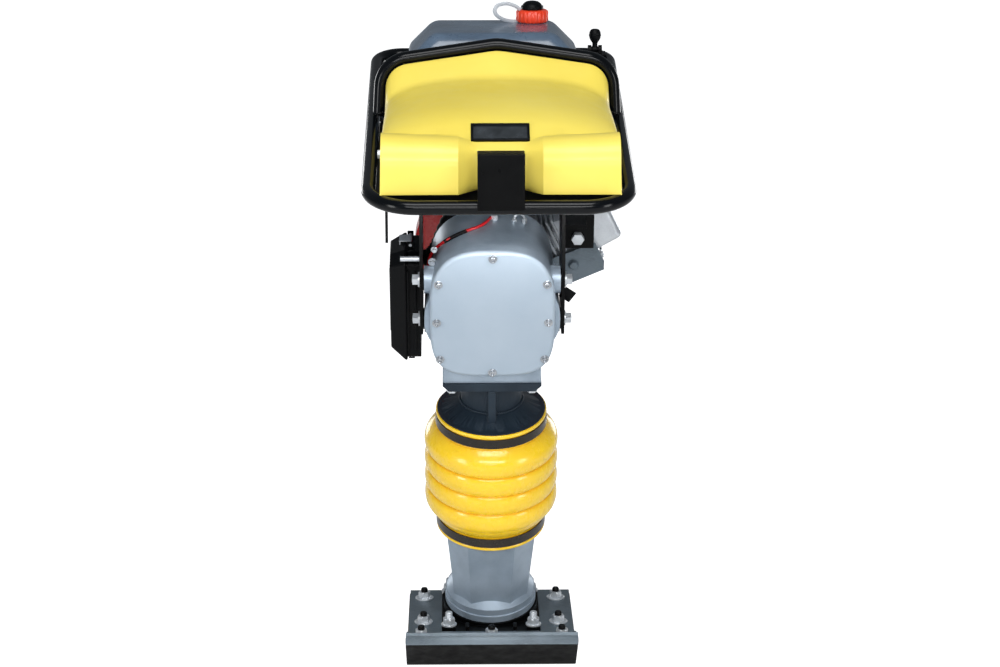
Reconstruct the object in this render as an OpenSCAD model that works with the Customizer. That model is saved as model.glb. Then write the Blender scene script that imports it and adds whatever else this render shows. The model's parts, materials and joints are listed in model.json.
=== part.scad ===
// Jumping jack rammer (tamping rammer) with a four-stroke petrol engine.
// Origin: centre of the sole's flat face. +Z up, +Y to the operator's side, +X to the right seen from the front.

/* [Shoe] */
// Width of the sole plate
sole_w = 285; // [250:1:320]
// Thickness of the steel sole plate
sole_t = 8; // [6:1:10]
// Length of the flat that meets the ground
flat_l = 206; // [190:1:230]
// Height of the shoe's deck above the ground
deck_z = 65; // [60:1:72]

/* [Ram] */
// Lean of the ram towards the front, in degrees
lean = 15; // [12:0.5:17]
// Height of the ram's foot flange centre above the ground
ram_z = 87; // [85:1:92]
// Radius of the foot flange
flange_r = 77.5; // [75:0.5:80]
// Outer radius of the bellows at its folds
bellows_r = 110; // [105:1:115]
// Pitch of the bellows folds
fold_pitch = 35.5; // [34:0.5:36]
// Outer radius of the spring cylinder
cylinder_r = 42; // [41:0.5:43]
// Radius of the ram's piston rod
rod_r = 14; // [12:0.5:16]

/* [Drive] */
// Width of the crankcase cover
cover_w = 196; // [190:1:200]
// Height of the crankcase cover
cover_h = 223; // [214:1:226]
// Gear module
gear_module = 2.5; // [2.5:0.1:2.5]
// Teeth on the crank gear
gear_teeth = 48; // [48:1:48]
// Teeth on the clutch pinion
pinion_teeth = 12; // [12:1:12]
// Crank throw, half of the ram's stroke
throw = 30; // [28:1:30]
// Distance between the pins of the connecting rod
rod_l = 165; // [160:1:168]

/* [Engine] */
// Height of the engine's crankshaft along the ram axis
engine_s = 560; // [558:1:562]
// Tilt of the engine's cylinder above the horizontal, in degrees
bank = 25; // [24:1:26]

/* [Handle] */
// Radius of the handle tube
tube_r = 11; // [10:0.5:12]
// Half width of the handle loop between tube centres, at its front
loop_hw = 196; // [190:1:198]
// Height of the handle's front bar
loop_front_z = 854; // [850:1:860]
// Height of the handle's rear bar
loop_rear_z = 985; // [980:1:990]

/* [Hidden] */

$fn = 48;
e = 0.01;

// Colours
c_black = [0.09, 0.10, 0.11];
c_steel = [0.36, 0.41, 0.44];
c_zinc = [0.76, 0.79, 0.82];
c_casting = [0.52, 0.56, 0.62];
c_cover = [0.72, 0.78, 0.84];
c_yellow = [0.98, 0.84, 0.22];
c_brown = [0.24, 0.19, 0.16];
c_rubber = [0.06, 0.06, 0.06];
c_red = [0.80, 0.12, 0.10];
c_tank = [0.50, 0.57, 0.66];

// Places along the length, in the upright frame, where y = 0 is over the foot flange's centre
ram_y = -15;
flat_front = -flat_l / 2 - ram_y;
flat_rear = flat_l / 2 - ram_y;

// Shoe
sole_bend_r = 40;
toe_tip = [-192, 80];
heel_tip = [144, 13];
sole_path = round_path([heel_tip, [flat_rear + 6, 0], [flat_front - 15, 0], toe_tip], sole_bend_r);
sole_inner = offset_path(sole_path, -sole_t);
deck_t = 8;
block_z = deck_z - deck_t;
plate_in = 83;
plate_out = 139;
plate_y = [-152, 85];
strip_t = 6;
strip_path = [[-122, deck_z], [-158, deck_z], [-184, deck_z + 22.6]];
m12 = 6;
shoe_bolt_x = 114;
shoe_bolts_y = [46, -66];
front_bolt_y = -143;
front_bolts_x = [-117, 0, 117];
foot_stud_x = 71;
foot_studs_y = [-94, 64];
pad_z = 71;

// Ram, along its own axis
flange_t = 24;
octagon_r = 69.2;
collar_s = 156;
collar_top = 182;
collar_r = 85;
socket_s = 14;
cylinder_wall = 6;
cylinder_top = 430;
cap_t = 12;
piston_s = 238;
piston_t = 24;
fold_n = 4;
fold_top_s = 326;
groove_r = bellows_r - 8;
wall_t = 4;
sleeve_r = collar_r + 4.5;
upper_collar_s = 354;
upper_lip_s = 381;
band_t = 2;
band_w = 16;

// Drive
gear_r = gear_module * gear_teeth / 2;
pinion_r = gear_module * pinion_teeth / 2;
gear_s = engine_s + gear_r + pinion_r;
pin_s = gear_s + throw;
wrist_s = pin_s - rod_l;
gear_y = 22;
gear_t = 18;
wall_y = 42;
case_rear_y = 62;
bell_y = 118;
cover_s = 606;
case_front_y = -85;
cover_t = 6;
guide_flange_s = 456;
case_bottom_s = 470;
drum_y = 70;
drum_r = 58;

// Air filter clips: height of the pin and the side that the clip lies on
clips = [[654, 1], [449, -1]];
clip_x = -130;

// Engine, along the bank of its cylinder
block_y = [bell_y, 226];
cyl_y = 172;
barrel_d = [62, 134];
head_d = 174;
valve_top_d = 226;

// Handle, in the upright frame
loop_front_y = -403;
loop_rear_y = 250;
rear_share = 1.01;
handle_x = 8;
loop_slope = atan((loop_rear_z - loop_front_z) / (loop_rear_y - loop_front_y));
hoop_y = -50;
plate_x = 109;
plate_t = 5;
mount_x = 84;

// Mount points for the shock mounts, as [y, s]
mounts_ys = [[-40, 642], [-40, 572]];
mount_s = 585;
cover_screw_xs = [[0, 706], [0, 502.5], [84.5, 661], [-84.5, 661], [87.5, 593], [-87.5, 593], [82.5, 527], [-82.5, 527]];
flange_bolt_x = 64;
flange_bolt_y = 60;

// ---- Frames and helpers ----

// Level pieces: y = 0 over the foot flange's centre
module upright() translate([0, ram_y, 0]) children();

// Pieces along the ram: z runs up the ram axis from the foot flange
module leaning() translate([0, ram_y, ram_z]) rotate([lean, 0, 0]) children();

// Pieces along the engine's cylinder: x runs out along the bore, y along the crankshaft
module banked() leaning() translate([0, 0, engine_s]) rotate([0, -bank, 0]) children();

// A disc or rod along Y, from y0, with its centre at [x, z]
module y_rod(r, y0, y1, x = 0, z = 0, fn = 48)
    translate([x, y0, z]) rotate([-90, 0, 0]) cylinder(r = r, h = y1 - y0, $fn = fn);

// A rod along X
module x_rod(r, x0, x1, y = 0, z = 0, fn = 48)
    translate([x0, y, z]) rotate([0, 90, 0]) cylinder(r = r, h = x1 - x0, $fn = fn);

module ring(r_out, r_in, h) difference() {
    cylinder(r = r_out, h = h);
    translate([0, 0, -e]) cylinder(r = r_in, h = h + 2 * e);
}

module block(low, high) translate(low) cube(high - low);

// A prism along X whose outline is in the YZ plane
module x_prism(points, x0, x1) translate([x0, 0, 0]) rotate([90, 0, 90]) linear_extrude(x1 - x0) polygon(points);

// A prism along Y whose outline is in the XZ plane
module y_prism(points, y0, y1)
    translate([0, y1, 0]) rotate([90, 0, 0]) linear_extrude(y1 - y0) polygon(points);

module hex_nut(across, h) cylinder(d = across / cos(30), h = h, $fn = 6);

function unit(v) = v / norm(v);
function reverse(list) = [for (i = [len(list) - 1:-1:0]) list[i]];
function per(r, i) = is_list(r) ? r[i] : r;

// Points of the arc that rounds the corner b between a and c
function corner_arc(a, b, c, r, n) =
    let (
        u = unit(a - b),
        v = unit(c - b),
        half = acos(max(-1, min(1, u * v))) / 2,
        centre = b + unit(u + v) * r / sin(half),
        start = b + u * r / tan(half) - centre,
        end = b + v * r / tan(half) - centre,
        sweep = 180 - 2 * half
    )
    [for (i = [0:n]) centre + (sin(sweep * (1 - i / n)) * start + sin(sweep * i / n) * end) / sin(sweep)];

// An open path with its inner corners rounded
function round_path(p, r, n = 6) = [
    p[0],
    for (i = [1:len(p) - 2]) each corner_arc(p[i - 1], p[i], p[i + 1], per(r, i - 1), n),
    p[len(p) - 1]
];

// A closed path with every corner rounded
function round_loop(p, r, n = 6) =
    let (m = len(p))
    [for (i = [0:m - 1]) each corner_arc(p[(i + m - 1) % m], p[i], p[(i + 1) % m], per(r, i), n)];

// A flat path moved sideways by d, to its left
function offset_path(p, d) = [
    for (i = [0:len(p) - 1])
        let (
            a = i == 0 ? p[1] - p[0] : unit(p[i] - p[i - 1]),
            b = i == len(p) - 1 ? a : unit(p[i + 1] - p[i]),
            t = unit(unit(a) + unit(b)),
            n = [-t[1], t[0]]
        )
        p[i] + n * d / max(0.5, cos(acos(max(-1, min(1, unit(a) * unit(b)))) / 2))
];

function ribbon(p, d) = concat(p, reverse(offset_path(p, d)));

// A superellipse outline about [0, z0], squarer in its lower half
function squircle(hw, hh, z0, upper = 2.9, lower = 3.8, step = 7.5) = [
    for (a = [0:step:360 - step])
        let (k = 2 / (a < 180 ? upper : lower))
        [sign(cos(a)) * pow(abs(cos(a)), k) * hw, z0 + sign(sin(a)) * pow(abs(sin(a)), k) * hh]
];

// A round tube along a path of points; ref is a direction that the path never runs along
module tube(path, r, ref = [0, 0, 1], closed = false, sides = 12) {
    n = len(path);
    tangents = [
        for (i = [0:n - 1])
            let (
                before = closed ? path[(i + n - 1) % n] : path[max(i - 1, 0)],
                after = closed ? path[(i + 1) % n] : path[min(i + 1, n - 1)]
            )
            unit(after - before)
    ];
    points = [
        for (i = [0:n - 1])
            let (
                u = unit(cross(tangents[i], ref)),
                v = cross(u, tangents[i])
            )
            for (k = [0:sides - 1]) path[i] + r * (cos(360 * k / sides) * u + sin(360 * k / sides) * v)
    ];
    rings = closed ? n : n - 1;
    walls = [
        for (i = [0:rings - 1])
            for (k = [0:sides - 1])
                let (
                    a = i * sides + k,
                    b = i * sides + (k + 1) % sides,
                    c = ((i + 1) % n) * sides + (k + 1) % sides,
                    d = ((i + 1) % n) * sides + k
                )
                each [[a, b, c], [a, c, d]]
    ];
    start_cap = [for (k = [sides - 1:-1:0]) k];
    end_cap = [for (k = [0:sides - 1]) (n - 1) * sides + k];
    polyhedron(points, closed ? walls : concat(walls, [start_cap, end_cap]));
}

// Spur gear along Y from y0, with its centre at [0, z] and a tooth or a gap at the top
module gear(teeth, y0, y1, z, turn) {
    r = gear_module * teeth / 2;
    pitch = 360 / teeth;
    outline = [
        for (i = [0:teeth - 1])
            for (p = [[-0.32, -1.2], [-0.22, 0], [-0.11, 0.95], [0.11, 0.95], [0.22, 0], [0.32, -1.2]])
                let (
                    a = turn + (i + p[0]) * pitch,
                    q = r + p[1] * gear_module
                )
                [q * sin(a), q * cos(a)]
    ];
    translate([0, 0, z]) y_prism(reverse(outline), y0, y1);
}

// ---- Shoe ----

// Every bolt hole that goes down through the deck
module shoe_holes(r, z0) {
    for (y = shoe_bolts_y) for (side = [-1, 1])
        translate([side * shoe_bolt_x, y, z0]) cylinder(r = r, h = 120);
}
module front_holes(r, z0) {
    for (x = front_bolts_x) translate([x, front_bolt_y, z0]) cylinder(r = r, h = 60, $fn = 24);
}
module foot_holes(r, z0) {
    for (y = foot_studs_y) for (side = [-1, 1])
        translate([side * foot_stud_x, y, z0]) cylinder(r = r, h = 120);
}

module sole_plate() color(c_black) upright() difference() {
    x_prism(ribbon(sole_path, -sole_t), -sole_w / 2, sole_w / 2);
    shoe_holes(m12 + 0.3, -1);
    for (y = shoe_bolts_y) for (side = [-1, 1])
        translate([side * shoe_bolt_x, y, -1]) cylinder(r = 13, h = 5);
}

module shoe_block() color(c_brown) upright() difference() {
    inner = [for (i = [1:len(sole_inner) - 2]) sole_inner[i]];
    x_prism(concat(inner, [[-151, block_z], [88, block_z]]), -sole_w / 2 + 2, sole_w / 2 - 2);
    shoe_holes(m12 + 0.3, 0);
    front_holes(m12 + 0.3, block_z - 15);
    foot_holes(m12 + 0.3, block_z - 35);
}

module deck_plates() color(c_steel) upright() {
    for (side = [0, 1]) mirror([side, 0, 0]) difference() {
        block([plate_in, plate_y[0], block_z], [plate_out, plate_y[1], deck_z]);
        translate([shoe_bolt_x, shoe_bolts_y[0], block_z - 1]) cylinder(r = m12 + 0.3, h = 20);
        translate([shoe_bolt_x, shoe_bolts_y[1], block_z - 1]) cylinder(r = m12 + 0.3, h = 20);
        translate([front_bolts_x[2], front_bolt_y, block_z - 1]) cylinder(r = m12 + 0.3, h = 20);
    }
    difference() {
        x_prism(ribbon(strip_path, -strip_t), -142, 142);
        front_holes(m12 + 0.3, block_z - 5);
    }
}

module shoe_bolts() color(c_black) upright() {
    for (y = shoe_bolts_y) for (side = [-1, 1]) translate([side * shoe_bolt_x, y, 0]) {
        translate([0, 0, 1]) cylinder(r = 12, h = 3);
        translate([0, 0, 4]) cylinder(r = m12, h = 84 - 4);
    }
    for (x = front_bolts_x) translate([x, front_bolt_y, 0]) {
        translate([0, 0, block_z - 4]) cylinder(r = m12, h = 37);
    }
}

module nut_and_washer() {
    difference() {
        cylinder(r = 15.5, h = 2.5);
        translate([0, 0, -1]) cylinder(r = m12 + 0.05, h = 5);
    }
    translate([0, 0, 2.5]) difference() {
        hex_nut(18, 10);
        translate([0, 0, -1]) cylinder(r = m12 + 0.05, h = 12);
    }
}

module shoe_nuts() color(c_zinc) upright() {
    for (y = shoe_bolts_y) for (side = [-1, 1])
        translate([side * shoe_bolt_x, y, deck_z]) nut_and_washer();
    for (x = front_bolts_x)
        translate([x, front_bolt_y, deck_z + strip_t]) front_nut();
}
module front_nut() {
    difference() {
        cylinder(r = 12.5, h = 2.5);
        translate([0, 0, -1]) cylinder(r = m12 + 0.05, h = 5);
    }
    translate([0, 0, 2.5]) difference() {
        hex_nut(18, 10);
        translate([0, 0, -1]) cylinder(r = m12 + 0.05, h = 12);
    }
}

// ---- Foot and ram housing ----

module foot_base() color(c_black) upright() difference() {
    union() {
        block([-81, -106, block_z], [81, 80, block_z + 5]);
        for (y = foot_studs_y) for (side = [-1, 1]) translate([side * foot_stud_x, y, block_z])
            intersection() {
                cylinder(r = 16, h = pad_z - block_z);
                block([-11.5, -13, 0], [11.5, 13, 30]);
            }
        intersection() {
            block([-90, -110, block_z], [90, 110, 140]);
            translate([0, 0, ram_z]) rotate([lean, 0, 0]) translate([0, 0, -80]) cylinder(r = flange_r + 3, h = 80);
        }
    }
    foot_holes(m12 + 0.3, block_z - 5);
    for (y = foot_studs_y) for (side = [-1, 1])
        translate([side * foot_stud_x, y, pad_z]) cylinder(r = 16, h = 60);
}

module foot_bolts() color(c_zinc) upright() {
    for (y = foot_studs_y) for (side = [-1, 1]) translate([side * foot_stud_x, y, 0]) {
        translate([0, 0, block_z - 35]) cylinder(r = m12, h = pad_z + 24 - block_z + 35);
        translate([0, 0, pad_z]) difference() {
            union() {
                cylinder(r = 13, h = 3);
                hex_nut(18, 13);
            }
            translate([0, 0, -1]) cylinder(r = m12 + 0.05, h = 20);
        }
    }
}

// A tapering prism with eight sides: wide ones square to X and Y, narrow ones at the corners
module octagon_taper(r0, r1, z0, z1) intersection_for (a = [0, 45, 90, 135]) rotate([0, 0, a]) {
    k = a % 90 == 0 ? cos(28) : cos(17);
    y_prism([[-r0 * k, z0], [-r1 * k, z1], [r1 * k, z1], [r0 * k, z0]], -2 * r1, 2 * r1);
}

module ram_housing() color(c_casting) leaning() difference() {
    union() {
        cylinder(r = flange_r, h = 12);
        cylinder(r = flange_r - 2, h = flange_t);
        translate([0, 0, flange_t]) cylinder(r1 = flange_r - 3, r2 = 58, h = 14);
        octagon_taper(octagon_r, collar_r - 1.2, flange_t - 2, collar_s + 2);
        translate([0, 0, collar_s]) cylinder(r = collar_r, h = collar_top - collar_s);
    }
    translate([0, 0, socket_s]) cylinder(r = cylinder_r + 0.05, h = 60);
    translate([0, 0, 50]) cylinder(r1 = cylinder_r + 0.05, r2 = 74, h = collar_top - 50 + e);
}

module spring_cylinder() color(c_zinc) leaning() difference() {
    translate([0, 0, socket_s]) cylinder(r = cylinder_r, h = cylinder_top - socket_s);
    translate([0, 0, socket_s + 10]) cylinder(r = cylinder_r - cylinder_wall, h = 500);
}

module spring_cap() color(c_steel) leaning() translate([0, 0, cylinder_top - cap_t])
    ring(cylinder_r - cylinder_wall, rod_r + 0.05, cap_t);

// Closed sleeves that hold the room of the two ram springs, below and above the piston
module ram_springs() color(c_zinc) leaning() {
    translate([0, 0, socket_s + 10.5]) ring(33, 24, piston_s - socket_s - 11);
    translate([0, 0, piston_s + piston_t + 0.5]) ring(33, 24, cylinder_top - cap_t - piston_s - piston_t - 1);
}

// Half profile of the bellows' outside, from the lower clamp to the upper one
function fold_r(s) =
    let (
        k = (fold_top_s - s) / fold_pitch,
        f = k - round(k)
    )
    k < 0 ? bellows_r - (bellows_r - sleeve_r) * pow(-k * fold_pitch / 28, 2.2)
    : k > fold_n - 0.5 ? groove_r - (groove_r - sleeve_r) * pow((k - fold_n + 0.5) / 0.56, 1.5)
    : groove_r + (bellows_r - groove_r) * sqrt(max(0, 1 - 4 * f * f * 0.98));

module bellows() color(c_yellow) leaning() {
    fold_s = [for (s = [183:2.95:353.5]) s];
    outside = [for (s = fold_s) [fold_r(s), s]];
    inside = [for (s = fold_s) [fold_r(s) - wall_t, s]];
    rotate_extrude($fn = 64) polygon(concat(
        [[collar_r + 0.02, 157], [sleeve_r + 1.5, 157], [sleeve_r + 1.5, 162.5], [sleeve_r, 162.5], [sleeve_r, 181]],
        outside,
        [[sleeve_r, 356], [sleeve_r, 374.5], [sleeve_r + 1.5, 374.5], [sleeve_r + 1.5, upper_lip_s]],
        [[collar_r + 0.02, upper_lip_s], [collar_r + 0.02, 355]],
        reverse(inside),
        [[collar_r + 0.02, 181.5]]));
}

// Worm-drive band with its screw housing at the back
module clamp_band(s) translate([0, 0, s]) {
    ring(sleeve_r + band_t, sleeve_r + 0.02, band_w);
    difference() {
        block([-14, sleeve_r - 1, 1], [14, sleeve_r + 13, 15]);
        translate([0, 0, -1]) cylinder(r = sleeve_r + band_t, h = 40);
    }
}

module lower_clamp() color(c_black) leaning() clamp_band(163.5);
module upper_clamp() color(c_black) leaning() clamp_band(357.5);

// ---- Crank drive ----

module ram_piston() color(c_zinc) leaning() {
    translate([0, 0, piston_s]) cylinder(r = cylinder_r - cylinder_wall - 0.08, h = piston_t);
    translate([0, 0, piston_s + piston_t - 1]) cylinder(r = rod_r, h = wrist_s - piston_s - piston_t - 17);
    difference() {
        union() {
            y_rod(16, -9, 9, 0, wrist_s);
            block([-14, -9, wrist_s - 26], [14, 9, wrist_s]);
        }
        y_rod(8.04, -10, 10, 0, wrist_s);
    }
}

module con_rod() color(c_casting) leaning() difference() {
    union() {
        for (y = [[-19.5, -10], [10, 19.5]]) {
            y_rod(16, y[0], y[1], 0, wrist_s);
            block([-9, y[0], wrist_s + 10], [9, y[1], wrist_s + 48]);
        }
        block([-11, -19.5, wrist_s + 30], [11, 19.5, wrist_s + 52]);
        block([-11, -10, wrist_s + 50], [11, 10, pin_s - 18]);
        y_rod(22, -13, 13, 0, pin_s);
    }
    y_rod(8, -21, 21, 0, wrist_s);
    y_rod(14, -21, 21, 0, pin_s);
}

// Wrist pin and crank pin; the crank pin stops just short of the gear's web
module rod_pins() color(c_zinc) leaning() {
    y_rod(8, -19.5, 19.5, 0, wrist_s);
    y_rod(14, -13, 21.5, 0, pin_s);
}

module crank_gear() color(c_steel) leaning() difference() {
    union() {
        gear(gear_teeth, gear_y, gear_y + gear_t, gear_s, 180 / gear_teeth);
        y_rod(20, gear_y, gear_y + gear_t + 1.5, 0, gear_s);
        y_rod(14, gear_y, 58.5, 0, gear_s);
    }
    for (a = [60:60:300]) translate([0, 0, gear_s]) rotate([0, a, 0])
        y_rod(9, gear_y - 1, gear_y + gear_t + 3, 0, 38);
}

module clutch_drum() color(c_steel) leaning() {
    gear(pinion_teeth, gear_y, gear_y + gear_t, engine_s, 0);
    y_rod(9, gear_y + gear_t - e, drum_y + e, 0, engine_s);
    difference() {
        y_rod(drum_r, drum_y, drum_y + 36, 0, engine_s);
        y_rod(drum_r - 6, drum_y + 6, drum_y + 37, 0, engine_s);
    }
}

module bearing(r_out, r_in, y0, y1, z) difference() {
    y_rod(r_out, y0, y1, 0, z);
    y_rod(r_in, y0 - 1, y1 + 1, 0, z);
}

module shaft_bearings() color(c_zinc) leaning() {
    bearing(27, 14.04, 43, 58, gear_s);
    bearing(20, 9.04, 43, 58, engine_s);
    bearing(26, 12.54, bell_y + 1, bell_y + 15, engine_s);
    bearing(26, 12.54, block_y[1] - 15, block_y[1] - 1, engine_s);
}

module engine_crankshaft() color(c_zinc) leaning() {
    y_rod(12.5, drum_y + 12, block_y[1] + 34, 0, engine_s);
    difference() {
        y_rod(22, drum_y + 12, drum_y + 32, 0, engine_s);
        y_rod(12, drum_y + 11, drum_y + 33, 0, engine_s);
    }
    for (y = [[136, 150], [194, 208]]) y_rod(34, y[0], y[1], 0, engine_s);
    y_rod(11, 149, 195, 0, engine_s + 20);
}

// Clutch shoe: a third of a ring inside the drum, mirrored for the other side
module clutch_shoe(side) color(c_brown) leaning() translate([0, 0, engine_s]) difference() {
    intersection() {
        y_rod(drum_r - 8, drum_y + 13, drum_y + 31);
        x_prism([[drum_y, -38], [drum_y + 40, -38], [drum_y + 40, 38], [drum_y, 38]],
            side > 0 ? 6 : -60, side > 0 ? 60 : -6);
    }
    y_rod(24, drum_y + 5, drum_y + 40);
}
module clutch_shoe_left() clutch_shoe(-1);
module clutch_shoe_right() clutch_shoe(1);

module flywheel_fan() color(c_casting) leaning() translate([0, 0, engine_s]) {
    difference() {
        union() {
            y_rod(84, block_y[1] + 6, block_y[1] + 16);
            y_rod(26, block_y[1] + 6, block_y[1] + 30);
            for (a = [0:24:336]) rotate([0, a, 0])
                block([-1.5, block_y[1] + 15, 40], [1.5, block_y[1] + 32, 82]);
        }
        y_rod(12.6, block_y[1], block_y[1] + 40);
    }
}

// ---- Power unit castings ----

module guide_cylinder() color(c_black) leaning() difference() {
    union() {
        translate([0, 0, 232]) cylinder(r = 50, h = guide_flange_s - 232);
        translate([0, 0, upper_collar_s]) cylinder(r = collar_r, h = upper_lip_s - upper_collar_s);
        translate([0, 0, upper_lip_s]) cylinder(r1 = collar_r, r2 = 50, h = 18);
        translate([0, 0, upper_lip_s + 0.1]) cylinder(r = collar_r + 3.5, h = 1.9);
        difference() {
            block([-79, -74, guide_flange_s], [79, 74, case_bottom_s]);
            for (side = [0, 1]) mirror([side, 0, 0]) translate([79, 0, guide_flange_s])
                rotate([0, 45, 0]) cube([14, 200, 14], center = true);
        }
        for (side = [0, 1]) mirror([0, side, 0])
            x_prism([[-45, 385], [-66, 387], [-71, guide_flange_s], [-45, guide_flange_s]], -6, 6);
    }
    translate([0, 0, 230]) cylinder(r = 44, h = 400);
    difference() {
        translate([0, 0, upper_collar_s - 1]) cylinder(r = collar_r - 7, h = 20);
        translate([0, 0, upper_collar_s - 2]) cylinder(r = 50, h = 30);
    }
    for (x = [-1, 1]) for (y = [-1, 1])
        translate([x * flange_bolt_x, y * flange_bolt_y, guide_flange_s - 20]) cylinder(r = 5.3, h = 50);
}

module guide_bush() color(c_yellow) leaning() {
    translate([0, 0, 236]) ring(44, cylinder_r + 0.05, 60);
    translate([0, 0, 350]) ring(44, cylinder_r + 0.05, 40);
}

module crankcase() color(c_casting) leaning() difference() {
    union() {
        difference() {
            union() {
                y_prism(squircle(cover_w / 2, cover_h / 2, cover_s), case_front_y, -66);
                y_prism(squircle(99, 106, cover_s, 2.7, 3.4), -67, case_rear_y);
                y_prism(squircle(107, 76, mount_s, 2.4, 2.4), -67, case_rear_y);
                block([-78, -70, case_bottom_s], [78, 70, 530]);
                y_rod(74, case_rear_y - 1, bell_y, 0, engine_s);
            }
            y_prism(squircle(cover_w / 2 - 22, cover_h / 2 - 22, cover_s), case_front_y - 1, wall_y);
            y_prism(squircle(92, 98, cover_s, 2.7, 3.4), -58, wall_y);
        }
        for (m = mounts_ys) for (side = [0, 1]) mirror([side, 0, 0]) x_rod(22, mount_x - 6, 107, m[0], m[1]);
    }
    for (m = mounts_ys) for (side = [0, 1]) mirror([side, 0, 0]) x_rod(17.2, mount_x, 108, m[0], m[1]);
    translate([0, 0, case_bottom_s - 1]) cylinder(r = 44, h = 60);
    y_rod(27, wall_y - 1, 58.5, 0, gear_s);
    y_rod(20, wall_y - 1, 58, 0, engine_s);
    y_rod(14, 50, 80, 0, engine_s);
    y_rod(64, case_rear_y + 2, bell_y + 1, 0, engine_s);
    for (p = cover_screw_xs) y_rod(4.2, case_front_y - 1, case_front_y + 14, p[0], p[1], 24);
    for (x = [-1, 1]) for (y = [-1, 1])
        translate([x * flange_bolt_x, y * flange_bolt_y, case_bottom_s - 1]) cylinder(r = 5.2, h = 26);
}

module crankcase_cover() color(c_cover) leaning() difference() {
    union() {
        y_prism(squircle(cover_w / 2, cover_h / 2, cover_s), case_front_y - cover_t, case_front_y);
        y_prism(squircle(cover_w / 2 - 3, cover_h / 2 - 3, cover_s), case_front_y - cover_t - 1.5, case_front_y - cover_t);
    }
    for (p = cover_screw_xs) y_rod(4.3, case_front_y - 20, case_front_y + 20, p[0], p[1], 24);
}

module cover_screws() color(c_zinc) leaning() for (p = cover_screw_xs) {
    face = case_front_y - cover_t - 1.5;
    y_rod(4, face - 1, case_front_y + 13, p[0], p[1], 24);
    difference() {
        translate([p[0], face, p[1]]) rotate([90, 0, 0]) hex_nut(11, 6);
        y_rod(2.5, face - 7, face - 3, p[0], p[1], 24);
    }
}

// Bolts of the guide flange, and the cylinder head's bolts
module engine_bolts() color(c_zinc) {
    leaning() for (x = [-1, 1]) for (y = [-1, 1])
        translate([x * flange_bolt_x, y * flange_bolt_y, guide_flange_s]) {
            translate([0, 0, -7]) hex_nut(16, 7);
            translate([0, 0, -7.5]) cylinder(r = 5, h = 44);
        }
    banked() for (y = [-1, 1]) for (z = [-1, 1]) {
        x_rod(4, head_d - 8, head_d + 11, cyl_y + y * 46, z * 42, 24);
        translate([head_d + 2.5, cyl_y + y * 46, z * 42]) rotate([0, 90, 0]) hex_nut(13, 7);
    }
}

// ---- Engine ----

module engine_block() color(c_casting) {
    difference() {
        union() {
            leaning() hull() {
                for (x = [-62, 40]) for (z = [engine_s - 62, engine_s + 52])
                    y_rod(18, block_y[0], block_y[1], x, z, 32);
            }
            banked() {
                x_rod(46, 40, barrel_d[1], cyl_y, 0);
                for (d = [barrel_d[0] + 6:9:barrel_d[1] - 3])
                    block([d, cyl_y - 54, -52], [d + 3, cyl_y + 54, 52]);
            }
        }
        banked() x_rod(34, 20, barrel_d[1] + 1, cyl_y, 0);
        leaning() y_rod(48, block_y[0] + 15, block_y[1] - 15, 0, engine_s);
        leaning() y_rod(26, block_y[0] - 1, block_y[0] + 16, 0, engine_s);
        leaning() y_rod(26, block_y[1] - 16, block_y[1] + 1, 0, engine_s);
    }
}

module cylinder_head() color(c_casting) banked() difference() {
    union() {
        block([barrel_d[1], cyl_y - 50, -46], [barrel_d[1] + 12, cyl_y + 50, 46]);
        for (d = [barrel_d[1] + 11.9:9:head_d - 12])
            block([d, cyl_y - 54, -50], [d + 3, cyl_y + 54, 50]);
        block([barrel_d[1] + 11, cyl_y - 38, -36], [head_d - 8, cyl_y + 38, 36]);
        block([head_d - 8, cyl_y - 54, -50], [head_d, cyl_y + 54, 50]);
    }
    for (y = [-1, 1]) for (z = [-1, 1]) x_rod(4.1, head_d - 8.5, head_d + 1, cyl_y + y * 46, z * 42, 24);
    x_rod(24, head_d - 20, head_d + 1, cyl_y, 0);
}

module valve_cover() color(c_zinc) banked() difference() {
    union() {
        block([head_d, cyl_y - 52, -49], [head_d + 2.5, cyl_y + 52, 49]);
        hull() {
            for (y = [-34, 34]) for (z = [-26, 26]) {
                translate([head_d + 2, cyl_y + y, z]) rotate([0, 90, 0]) cylinder(r = 10, h = 2, $fn = 24);
                translate([valve_top_d - 12, cyl_y + y * 0.9, z * 0.9]) sphere(r = 10, $fn = 24);
            }
        }
    }
    hull() for (y = [-30, 30]) for (z = [-22, 22])
        translate([head_d - 1, cyl_y + y, z]) rotate([0, 90, 0]) cylinder(r = 9, h = 36, $fn = 16);
    for (y = [-1, 1]) for (z = [-1, 1]) x_rod(4.2, head_d - 1, head_d + 4, cyl_y + y * 46, z * 42, 24);
}

// Sheet-steel air guide along the lower front of the cylinder
module cylinder_shroud() color(c_steel) banked() {
    y0 = cyl_y - 60;
    difference() {
        y_prism([[84, -62], [176, -62], [182, -50], [182, -12], [84, -8]], y0, y0 + 2);
        y_rod(5, y0 - 1, y0 + 3, 134, -34, 24);
    }
    block([84, y0, -64], [176, cyl_y + 40, -62]);
    y_rod(4.9, y0 - 4, y0 + 6, 134, -34, 24);
    translate([134, y0 - 1.5, -34]) rotate([90, 0, 0]) cylinder(r1 = 9, r2 = 6, h = 5);
}

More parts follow.
